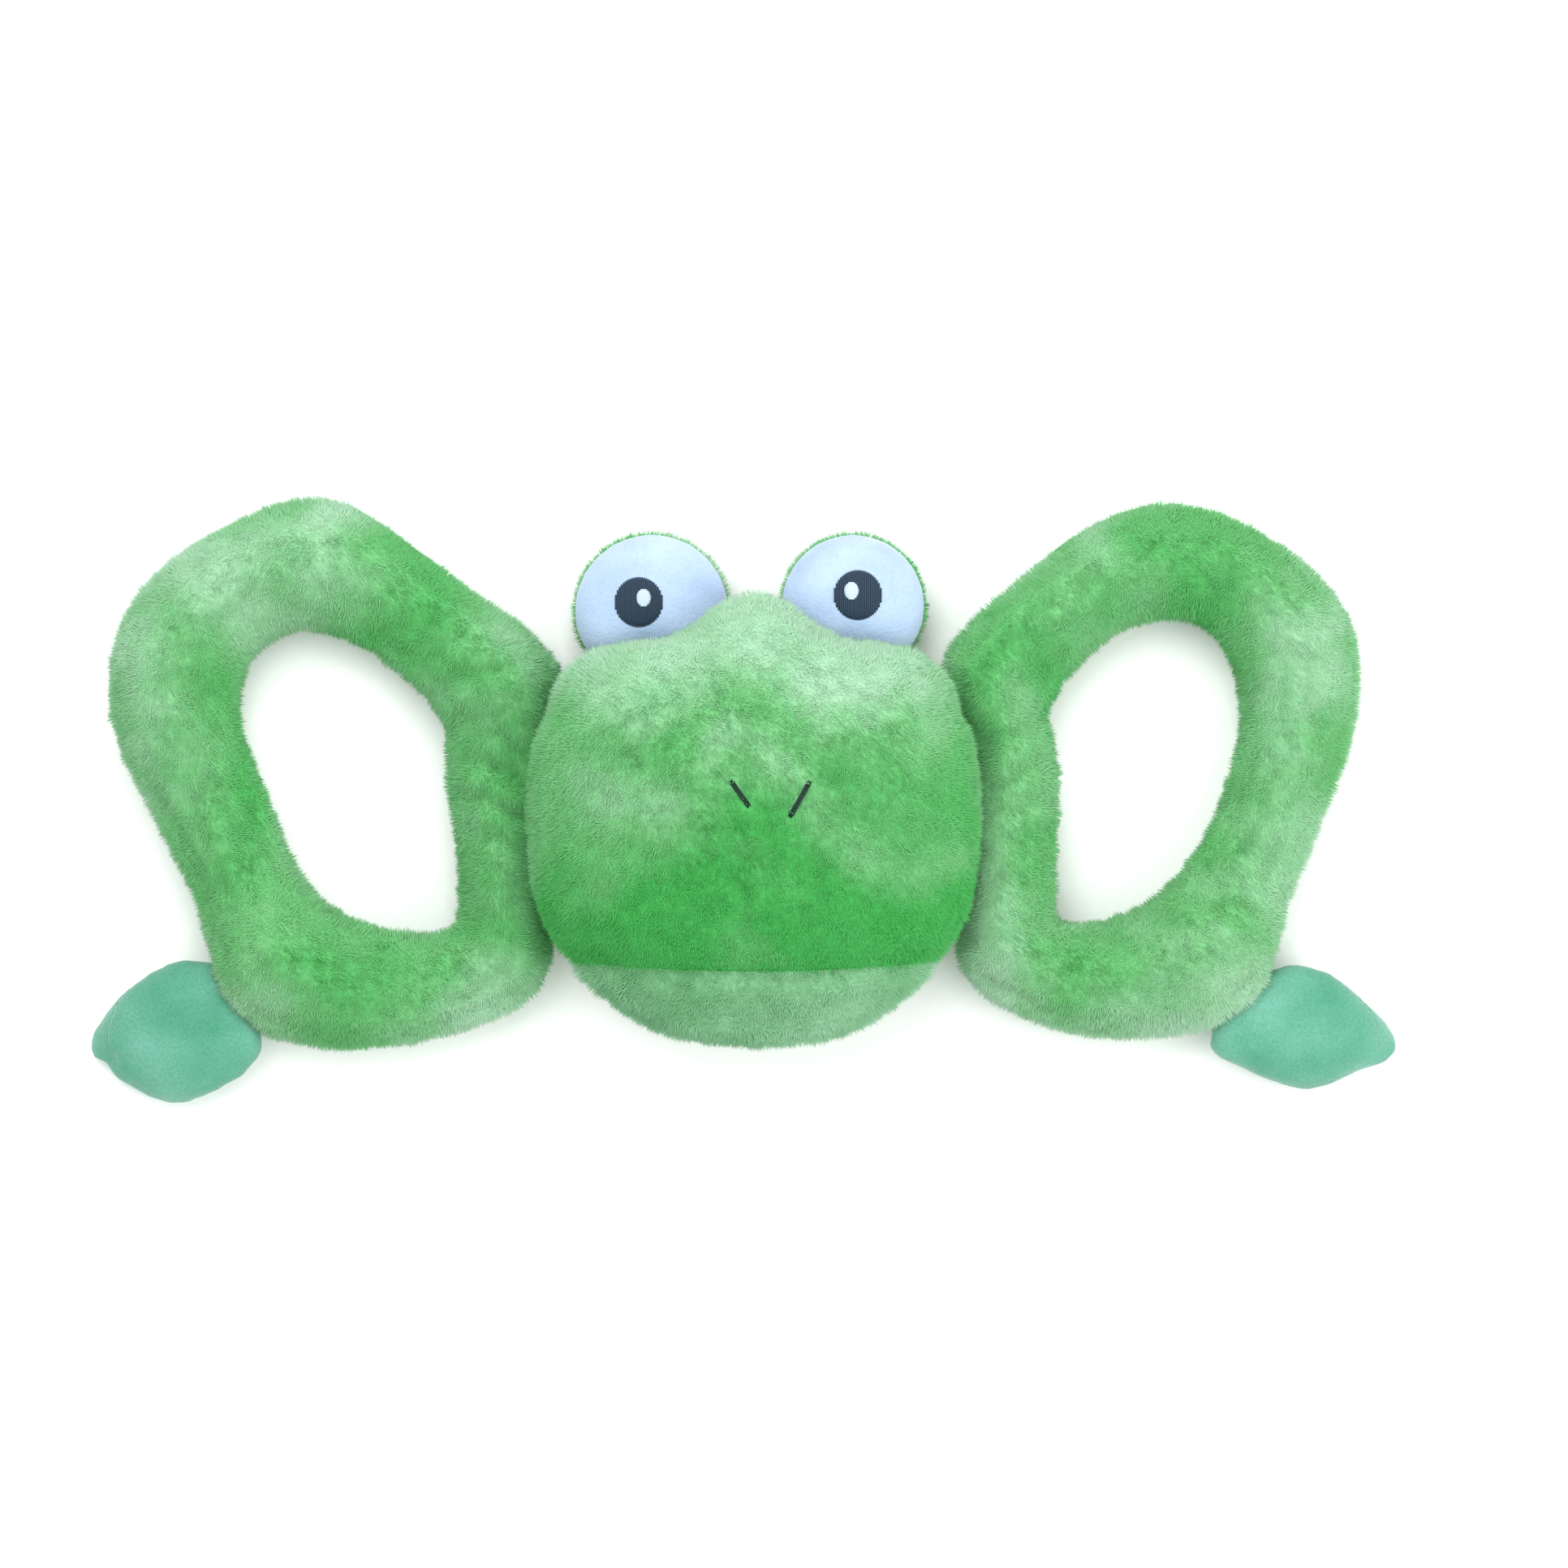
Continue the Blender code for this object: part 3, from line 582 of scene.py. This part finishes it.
# %% Writing a geometry nodes tree
class Scatter:
    """A geometry nodes tree that is being written."""
    def __init__(self, name):
        self.tree = bpy.data.node_groups.new(name, "GeometryNodeTree")
        for way in ("INPUT", "OUTPUT"):
            self.tree.interface.new_socket("Geometry", in_out=way, socket_type="NodeSocketGeometry")

    def node(self, kind, settings=None, values=None):
        made = self.tree.nodes.new(kind)
        for key, value in (settings or {}).items():
            setattr(made, key, value)
        for key, value in (values or {}).items():
            if isinstance(value, bpy.types.NodeSocket):
                self.tree.links.new(value, made.inputs[key])
            else:
                made.inputs[key].default_value = value
        return made.outputs


def in_use(outputs):
    """A random number node has an output for each kind of number. Only one is in use."""
    return [socket for socket in outputs if socket.enabled][0]


# %% Scattering tufts
NAP_GRAIN, BUNCH_GRAIN = 60.0, 230.0
NAP_LEAN, BUNCH_LEAN = 3.0, 1.5


def pile_tree(spacing, length, width, lean, comb, seed):
    """The tree that grows a pile. comb is the way in which the whole nap is brushed."""
    t = Scatter("pile_tree")
    cloth = t.node("NodeGroupInput")[0]
    share = t.node("GeometryNodeInputNamedAttribute", {"data_type": "FLOAT"},
                   {"Name": "pile"})[0]
    roots = t.node("GeometryNodeDistributePointsOnFaces", {"distribute_method": "POISSON"}, {
        "Mesh": cloth, "Distance Min": spacing, "Density Max": 1.2 / spacing ** 2,
        "Density Factor": share, "Seed": seed})
    place = t.node("GeometryNodeInputPosition")[0]
    wander = t.node("ShaderNodeTexNoise", None,
                    {"Vector": place, "Scale": NAP_GRAIN, "Detail": 2.0})["Color"]
    bunch = t.node("ShaderNodeTexNoise", None,
                   {"Vector": place, "Scale": BUNCH_GRAIN, "Detail": 1.0})
    half = (0.5, 0.5, 0.5)

    def vector(operation, first, second):
        key = "Scale" if operation == "SCALE" else 1
        return t.node("ShaderNodeVectorMath", {"operation": operation},
                      {0: first, key: second})[0]

    nap = vector("SCALE", vector("SUBTRACT", wander, half), NAP_LEAN * lean)
    bunching = vector("SCALE", vector("SUBTRACT", bunch["Color"], half), BUNCH_LEAN * lean)
    nap = vector("ADD", vector("ADD", nap, bunching), comb)
    way = vector("ADD", roots["Normal"], nap)
    turn = t.node("FunctionNodeAlignRotationToVector", {"axis": "Z"}, {"Vector": way})[0]
    spin = in_use(t.node("FunctionNodeRandomValue", {"data_type": "FLOAT"},
                         {"Min": 0.0, "Max": 6.28, "Seed": seed}))
    spin = t.node("FunctionNodeAxisAngleToRotation", None, {"Axis": (0, 0, 1), "Angle": spin})[0]
    turn = t.node("FunctionNodeRotateRotation", {"rotation_space": "LOCAL"},
                  {"Rotation": turn, "Rotate By": spin})[0]
    size = in_use(t.node("FunctionNodeRandomValue", {"data_type": "FLOAT_VECTOR"}, {
        "Min": (width * 0.8, width * 0.8, length * 0.7),
        "Max": (width * 1.2, width * 1.2, length * 1.15), "Seed": seed + 1}))
    height = t.node("ShaderNodeMath", {"operation": "MULTIPLY_ADD"},
                    {0: bunch["Fac"], 1: 1.0, 2: 0.5})[0]
    size = vector("SCALE", size, height)
    tuft = t.node("GeometryNodeObjectInfo", None, {"Object": TUFT})["Geometry"]
    tufts = t.node("GeometryNodeInstanceOnPoints", None, {
        "Points": roots["Points"], "Instance": tuft, "Rotation": turn, "Scale": size})[0]
    number = in_use(t.node("FunctionNodeRandomValue", {"data_type": "FLOAT"}, {"Seed": seed + 2}))
    tufts = t.node("GeometryNodeStoreNamedAttribute",
                   {"data_type": "FLOAT", "domain": "INSTANCE"},
                   {"Geometry": tufts, "Name": "tuft", "Value": number})[0]
    whole = t.node("GeometryNodeRealizeInstances", None, {"Geometry": tufts})[0]
    t.node("NodeGroupOutput", None, {0: whole})
    return t.tree


# %% Growing a pile
SEEDS = {"head": 11, "left_loop": 21, "right_loop": 31, "left_eye": 41, "right_eye": 42}
HIDDEN_PILE = {"spacing": 0.9, "width": 0.8}
LEAN, LOWEST_TIP = 0.42, 0.0002


def grow_pile(cloth, name, finish, seed, spacing=0.49, length=2.9, width=0.52,
              comb=(0, -0.15, 0), share=None):
    """Grows a pile on a copy of the cloth. Sizes are in millimetres. share is how much grows at
    each point of the cloth, from 0 to 1."""
    base = cloth.copy()
    base.data = cloth.data.copy()
    base.name = base.data.name = name
    bpy.context.scene.collection.objects.link(base)
    share = np.ones(len(base.data.vertices)) if share is None else share
    attribute = base.data.attributes.new("pile", "FLOAT", "POINT")
    attribute.data.foreach_set("value", share.astype(np.float32))
    finish_with(base, "NODES", node_group=pile_tree(
        spacing * MM, length * MM, width * MM, LEAN, comb, seed))
    flatten_on_floor(base, LOWEST_TIP)
    dress(base, finish)
    print(" ", name, "triangles:", len(base.data.polygons))
    return base


def line_cloth(panel, thickness, finish):
    """Gives a panel its thickness, finish, slot and fill."""
    finish_with(panel, "SOLIDIFY", thickness=thickness, offset=-1, use_rim=True)
    dress(panel, finish)
    choose(panel)
    bpy.ops.object.shade_smooth()


# %% [markdown]
# ## The head
# The head is three panels. The face bulges over the loops, the chin is set in under the mouth,
# and the back lies on the floor. The mouth is no hole, only the seam between face and chin, which
# the stuffing pushes out on both sides. It is curved, so the form is bent until the mouth is
# straight, cut along a plane, and bent back.

# %% The head's form
WALL, THIN_WALL = 0.0014, 0.0009
HEAD_NET, PLUSH_GROW, PLUSH_CAP, PLUSH_SPARE = 0.0042, 0.0006, 0.0028, 0.02
PLUSH_SEAM_WIDTH, PILE_ROOM = 0.0025, 0.0012
MOUTH_Y, MOUTH_RISE, HALF_FACE = -0.050, 0.005, 0.074
MOUTH_DEPTH, MOUTH_WIDTH = 0.0012, 0.005


def mouth_rise(x):
    return MOUTH_RISE * (x / HALF_FACE) ** 2


head = stuffing_copy("head", "head_form")
shells = close_squeaker_pocket(head)
net_form(head, HEAD_NET)
print("pocket points rounded out:", round_out_pocket(head, shells))
stuff(head, HEAD_NET, PLUSH_GROW, PLUSH_CAP, PLUSH_SPARE)
points = corners(head)
above_seam = points[:, 2] > SEAM_HEIGHT + 0.002
mouth_gap = points[:, 1] - mouth_rise(points[:, 0]) - MOUTH_Y
pull_in(head, MOUTH_DEPTH, near(mouth_gap, MOUTH_WIDTH) * above_seam)
draw_seam(head, depth=0.0016, width=PLUSH_SEAM_WIDTH)
flatten_on_floor(head, PILE_ROOM)

# %% The head's panels
face = part_at(head, "head_face_cloth", (0, 0, SEAM_HEIGHT), (0, 0, 1))
back = head
back.name = back.data.name = "head_back_cloth"


def bend_mouth(panel, way):
    points = corners(panel)
    points[:, 1] += way * mouth_rise(points[:, 0])
    move_corners(panel, points)


bend_mouth(face, -1)
chin = part_at(face, "head_chin_cloth", (0, MOUTH_Y, 0), (0, -1, 0))
bend_mouth(face, 1)
bend_mouth(chin, 1)
print("head panels:", face.name, chin.name, back.name)

# %% [markdown]
# ## The nostrils
# Each nostril is a short bar of dark thread, drawn tight so that it sinks into the pile. It is
# two strands side by side, each a curve with a round section that dives into the cloth at both
# ends, turned into a mesh. The pile is left out right under it.

# %% Laying thread on a surface
def on_surface(surface, x, y):
    """The point straight under (x, y) on a surface."""
    return surface.ray_cast(Vector((x, y, 0.2)), Vector((0, 0, -1)))[0]


def strand(name, points, thickness):
    """A thread through the points, as a mesh."""
    bpy.ops.object.select_all(action="DESELECT")
    bpy.ops.curve.primitive_nurbs_path_add(location=(0, 0, 0))
    made = bpy.context.object
    made.name = name
    curve = made.data
    curve.splines.clear()
    spline = curve.splines.new("NURBS")
    spline.points.add(len(points) - 1)
    for end, point in zip(spline.points, points):
        end.co = (*point, 1)
    spline.order_u, spline.use_endpoint_u = 3, True
    curve.resolution_u, curve.bevel_resolution = 2, 1
    curve.bevel_depth, curve.use_fill_caps = thickness / 2, True
    choose(made)
    bpy.ops.object.convert(target="MESH")
    return settle(bpy.context.object)


def sewn(name, strands, finish):
    """Joins strands into one piece."""
    choose(*strands)
    if len(strands) > 1:
        bpy.ops.object.join()
    made = bpy.context.object
    made.name = made.data.name = name
    dress(made, finish)
    choose(made)
    bpy.ops.object.shade_smooth()
    return made


# %% The nostril stitches
face_surface = surface_of(face)
NOSTRIL_LIFTS = (-0.8, 1.1, 1.9, 2.2, 1.9, 1.1, -0.8)
STRAND_WIDTH, STRAND_STEP = 0.9, 0.75  # millimetres, as the lifts are
nostril_ends = {}
for side in SIDES:
    low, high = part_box(side + "_nostril_stitch")
    outer, inner = (low.x, high.x) if side == "left" else (high.x, low.x)
    start, end = Vector((outer, high.y)), Vector((inner, low.y))
    nostril_ends[side] = (start, end)
    across = (end - start).orthogonal().normalized()
    strands = []
    for step in (-0.5, 0.5):
        path = []
        for i, lift in enumerate(NOSTRIL_LIFTS):
            flat = start.lerp(end, i / (len(NOSTRIL_LIFTS) - 1))
            flat += across * step * STRAND_STEP * MM
            path.append(on_surface(face_surface, *flat) + Vector((0, 0, lift * MM)))
        strands.append(strand("nostril_strand", path, STRAND_WIDTH * MM))
    bar = sewn(side + "_nostril_thread", strands, nostril_thread)
    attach(bar, "head")
    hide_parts(side + "_nostril_stitch")
print("nostril bars: 2")


# %% The head's pile
STRAND_ROOM = 0.0010


def near_nostrils(points):
    """1 within a stitch's width of a nostril, 0 away from both."""
    nearest = np.full(len(points), 1.0)
    for start, end in nostril_ends.values():
        along = np.array(end - start)
        share = np.clip(((points[:, :2] - np.array(start)) @ along) / (along @ along), 0, 1)
        gap = np.linalg.norm(points[:, :2] - (np.array(start) + share[:, None] * along), axis=1)
        nearest = np.minimum(nearest, gap)
    return near(nearest, STRAND_ROOM)


face_pile = grow_pile(face, "head_face_pile", face_plush, SEEDS["head"], comb=(0, -0.22, 0),
                      share=1 - near_nostrils(corners(face)))
chin_pile = grow_pile(chin, "head_chin_pile", chin_plush, SEEDS["head"] + 1, comb=(0, 0.1, 0))
back_pile = grow_pile(back, "head_back_pile", green_plush, SEEDS["head"] + 2, **HIDDEN_PILE)
line_cloth(face, WALL, face_plush)
line_cloth(chin, WALL, chin_plush)
line_cloth(back, WALL, green_plush)
for piece in (face, chin, back, face_pile, chin_pile, back_pile):
    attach(piece, "head")
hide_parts("head_face_panel", "head_stuffing")
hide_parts("head_chin_panel")
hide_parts("head_back_panel")
print("head pieces: 6")

# %% [markdown]
# ## The closing stitches
# Each form is filled through a gap in a seam, which is then shut with a zigzag of thread. The
# thread lies down in the pile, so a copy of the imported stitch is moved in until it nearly
# touches the cloth.

# %% The closing stitches
THREAD_LIFT = 0.0016


def closing_thread(node, cloth, body):
    """Moves a copy of a stitch in to the cloth and lets it stand for the node."""
    copy = free_copy(node, node.replace("_stitch", "_thread"))
    surface, points = surface_of(cloth), corners(copy)
    nearest = np.array([surface.find_nearest(Vector(p))[0] for p in points])
    gap = (nearest - points).mean(0)
    gap[2] = 0
    points += gap * max(0, 1 - THREAD_LIFT / max(np.linalg.norm(gap), 1e-6))
    move_corners(copy, points)
    dress(copy, green_thread)
    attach(copy, body)
    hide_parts(node)


closing_thread("head_closing_stitch", chin, "head")
print("closing stitch of the head laid on the cloth")

# %% [markdown]
# ## The hand loops
# A loop is a stuffed ring with one seam round its outer edge and one round its hand hole. It is
# sewn to the side of the head along its inner limb. The same steps make both.

# %% Putting a soft piece's place into its mesh
loop_surfaces = {}


def hinge_of(body):
    """A point of the joint that moves this body."""
    return Vector([j for j in frame["joints"] if j["child"] == body][0]["pos_m"])


def sew_on(piece, moving, way):
    """Puts the piece's place into its mesh, so that its object is at the origin. moving and way are
    not used."""
    hinge, way = hinge_of(moving), Vector(way).normalized()
    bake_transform(piece)


# %% Wrinkles where a limb is squeezed by the head
WRINKLE_STEP, LIMB_WIDTH, LIMB_LENGTH = 0.013, 0.022, 0.05


def limb_wrinkles(points, side):
    """From -1 to 1: wavy ridges across the limb beside the head, fading away from it."""
    x, y = points[:, 0], points[:, 1]
    beside = near(np.abs(x) - abs(hinge_of(side + "_loop").x) - 0.004, LIMB_WIDTH)
    wander = 0.004 * np.sin(x * 170 + 1.3) + 0.002 * np.sin(y * 90)
    ridges = np.sin((y + wander) * 2 * math.pi / WRINKLE_STEP)
    ridges *= 0.65 + 0.5 * np.sin(y * 61 + x * 140)
    return ridges * beside * near(y - 0.01, LIMB_LENGTH)


# %% The shoulder
SHOULDER, SHOULDER_WIDTH, SHOULDER_RISE = (0.066, 0.049), 0.022, 0.0045


def fill_shoulder(form, side):
    """The loop is stuffed hard where it goes in under the head, so its upper edge stands out."""
    way, points = SIDES[side], corners(form)
    gap = np.linalg.norm(points[:, :2] - np.array((way * SHOULDER[0], SHOULDER[1])), axis=1)
    rise = np.array((-0.6 * way, 0.8, 0)) * SHOULDER_RISE
    move_corners(form, points + near(gap, SHOULDER_WIDTH)[:, None] * rise)


# %% The hand loops
LOOP_NET, WRINKLE_DEPTH = 0.004, 0.0008


def make_loop(side):
    body = side + "_loop"
    form = stuffing_copy(body, body + "_form")
    net_form(form, LOOP_NET)
    stuff(form, LOOP_NET, PLUSH_GROW, PLUSH_CAP, PLUSH_SPARE)
    draw_seam(form, depth=0.0014, width=PLUSH_SEAM_WIDTH)
    fill_shoulder(form, side)
    pull_in(form, WRINKLE_DEPTH, limb_wrinkles(corners(form), side))
    flatten_on_floor(form, PILE_ROOM)
    loop_surfaces[side] = surface_of(form)
    front = part_at(form, body + "_front_cloth", (0, 0, SEAM_HEIGHT), (0, 0, 1))
    rear = form
    rear.name = rear.data.name = body + "_back_cloth"
    finish, seed = loop_plush[side], SEEDS[body]
    front_pile = grow_pile(front, body + "_front_pile", finish, seed)
    rear_pile = grow_pile(rear, body + "_back_pile", finish, seed + 1, **HIDDEN_PILE)
    line_cloth(front, WALL, finish)
    line_cloth(rear, WALL, finish)
    for piece in (front, rear, front_pile, rear_pile):
        sew_on(piece, body, way=(SIDES[side], 0, 0))
    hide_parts(body + "_front_panel", body + "_stuffing")
    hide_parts(body + "_back_panel")
    closing_thread(body + "_closing_stitch", front, body)


for side in SIDES:
    make_loop(side)
    print(side, "loop made")

# %% [markdown]
# ## The eyes
# Each eye is a ball of two cups. The front cup is pale blue short-nap cloth, and the back cup is
# the same plush as the head, whose pile stands out past the seam as a thin green rim. The pupil
# and its glint are satin stitch: straight strands laid side by side, close enough to hide the
# cloth, each diving into it at both ends.

# %% Satin stitch
STRAND_STEPS = (-1.04, -0.97, -0.55, 0.0, 0.55, 0.97, 1.04)
DIVE, OVERLAP = -0.4, 1.12


def satin_patch(name, surface, box, pitch, crown, lift, finish, upright):
    """Covers the oval in a node's box with strands, pitch apart. crown is how far its middle
    stands up, lift how far its edge does."""
    low, high = box
    middle, half = (low + high) / 2, (high - low) / 2
    along, across = (1, 0) if upright else (0, 1)
    count = int(2 * half[across] / pitch)
    strands = []
    for i in range(count):
        share = -1 + (2 * i + 1) / count
        reach = half[along] * math.sqrt(1 - share ** 2)
        path = []
        for step in STRAND_STEPS:
            flat = [0.0, 0.0]
            flat[along] = middle[along] + reach * step
            flat[across] = middle[across] + half[across] * share
            rise = DIVE * MM
            if abs(step) < 1:
                rise = lift + crown * (1 - share ** 2) * (1 - step ** 2)
            path.append(on_surface(surface, *flat) + Vector((0, 0, rise)))
        strands.append(strand("satin_strand", path, pitch * OVERLAP))
    return sewn(name, strands, finish)


# %% The eyes
EYE_SINK = Vector((0, -0.0021, 0))
EYE_NET, EYE_GROW, EYE_CAP = 0.003, 0.0021, 0.0016


def make_eye(side):
    body = side + "_eye"
    form = stuffing_copy(body, body + "_form")
    net_form(form, EYE_NET)
    stuff(form, EYE_NET, EYE_GROW, EYE_CAP)
    draw_seam(form, depth=0.0008, width=0.0016)
    move_corners(form, corners(form) + np.array(EYE_SINK))
    surface = surface_of(form)
    pupil_box, glint_box = ([corner + EYE_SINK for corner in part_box(body + end)]
                            for end in ("_pupil", "_glint"))
    pupil = satin_patch(body + "_pupil_stitch", surface, pupil_box, pitch=0.62 * MM,
                        crown=0.5 * MM, lift=0.25 * MM, finish=dark_thread,
                        upright=True)
    glint = satin_patch(body + "_glint_stitch", surface, glint_box, pitch=0.5 * MM,
                        crown=0.5 * MM, lift=1.0 * MM, finish=white_thread,
                        upright=False)
    front = part_at(form, body + "_front_cloth", (0, 0, SEAM_HEIGHT), (0, 0, 1))
    rear = form
    rear.name = rear.data.name = body + "_back_cloth"
    pile = grow_pile(rear, body + "_back_pile", green_plush, SEEDS[body], length=2.2,
                     comb=(0, 0.1, 0.1))
    line_cloth(front, THIN_WALL, eye_cloth)
    line_cloth(rear, THIN_WALL, green_plush)
    for piece in (front, rear, pile):
        sew_on(piece, body, way=(0, 1, 0))
    for piece in (pupil, glint):
        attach(piece, body)
    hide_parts(body + "_front_panel", body + "_stuffing")
    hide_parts(body + "_back_panel")
    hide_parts(body + "_pupil")
    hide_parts(body + "_glint")


for side in SIDES:
    make_eye(side)
    print(side, "eye made")

# %% [markdown]
# ## The feet
# A foot is a leaf-shaped velour cushion with a seam all round its edge, and it droops from the
# loop's lower corner to the floor. Velour has so short a nap that it is a finish, not a pile.

# %% A foot's root and tip
ROOT_REACH, ROOT_PULL, ROOT_RISE = 0.013, 0.010, 0.0045
TIP_REACH, TIP_PINCH = 0.009, 0.4
TUCK, TUCK_WIDTH, TUCK_DEPTH = (-0.2135, -0.0815), 0.004, 0.003


def outward_way(side, points):
    """The level direction in which a foot points away from its joint."""
    way = Vector(points.mean(0)) - hinge_of(side + "_foot")
    way.z = 0
    return way.normalized()


def fit_root(form, side):
    """Draws the foot's root back to the loop, so that it meets the plush all along, and pinches
    its tip. The left foot's seam has a small tuck beside the tip."""
    points, hinge = corners(form), np.array(hinge_of(side + "_foot"))
    way = outward_way(side, points)
    reach = np.maximum((points - hinge) @ np.array(way), 0)
    pull = near(reach, ROOT_REACH)
    for i in np.where(pull > 0.02)[0]:
        point = Vector(points[i])
        level = Vector((point.x, point.y, SEAM_HEIGHT))
        gap = loop_surfaces[side].ray_cast(level, -way)[3] or ROOT_PULL
        points[i] = point - way * min(gap + 0.001, ROOT_PULL) * pull[i]
    up = np.array(way.orthogonal())
    up *= math.copysign(1, up[1]) / np.linalg.norm(up)
    points += up * (ROOT_RISE * near(reach, 1.2 * ROOT_REACH))[:, None]
    tip = near(reach.max() - reach, TIP_REACH)[:, None]
    aside = ((points - hinge) @ up)[:, None]
    points -= tip * up * (aside - aside[reach.argmax()]) * TIP_PINCH
    if side == "left":
        gap = np.linalg.norm(points[:, :2] - np.array(TUCK), axis=1)
        points += near(gap, TUCK_WIDTH)[:, None] * np.array((0.6, 0.8, 0)) * TUCK_DEPTH
    move_corners(form, points)


# %% The feet
FOOT_NET, FOOT_GROW, FOOT_CAP = 0.0022, 0.0030, 0.0012
VELOUR_ROOM = 0.0003


def make_foot(side):
    body = side + "_foot"
    form = stuffing_copy(body, body + "_form")
    net_form(form, FOOT_NET)
    stuff(form, FOOT_NET, FOOT_GROW, FOOT_CAP)
    fit_root(form, side)
    flatten_on_floor(form, VELOUR_ROOM)
    points = corners(form)
    way = outward_way(side, points)
    upper = part_at(form, body + "_upper_cloth", points.mean(0), (0, 0, 1))
    sole = form
    sole.name = sole.data.name = body + "_sole_cloth"
    line_cloth(upper, THIN_WALL, aqua_velour)
    line_cloth(sole, THIN_WALL, aqua_velour)
    for piece in (upper, sole):
        sew_on(piece, body, way=way)
    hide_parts(body + "_upper_panel", body + "_stuffing")
    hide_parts(body + "_sole_panel")


for side in SIDES:
    make_foot(side)
    print(side, "foot made")

# %% [markdown]
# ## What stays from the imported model
# The squeaker is a hard part inside the head. Its shape is right as it is, so it only gets its
# finish.

# %% Finishes for the nodes that stay
kept = {"squeaker_bladder": squeaker_plastic, "squeaker_reed": squeaker_plastic}
for node, finish in kept.items():
    dress(frame["nodes"][node], finish)
bpy.data.objects.remove(TUFT)
print("kept nodes:", len(kept))
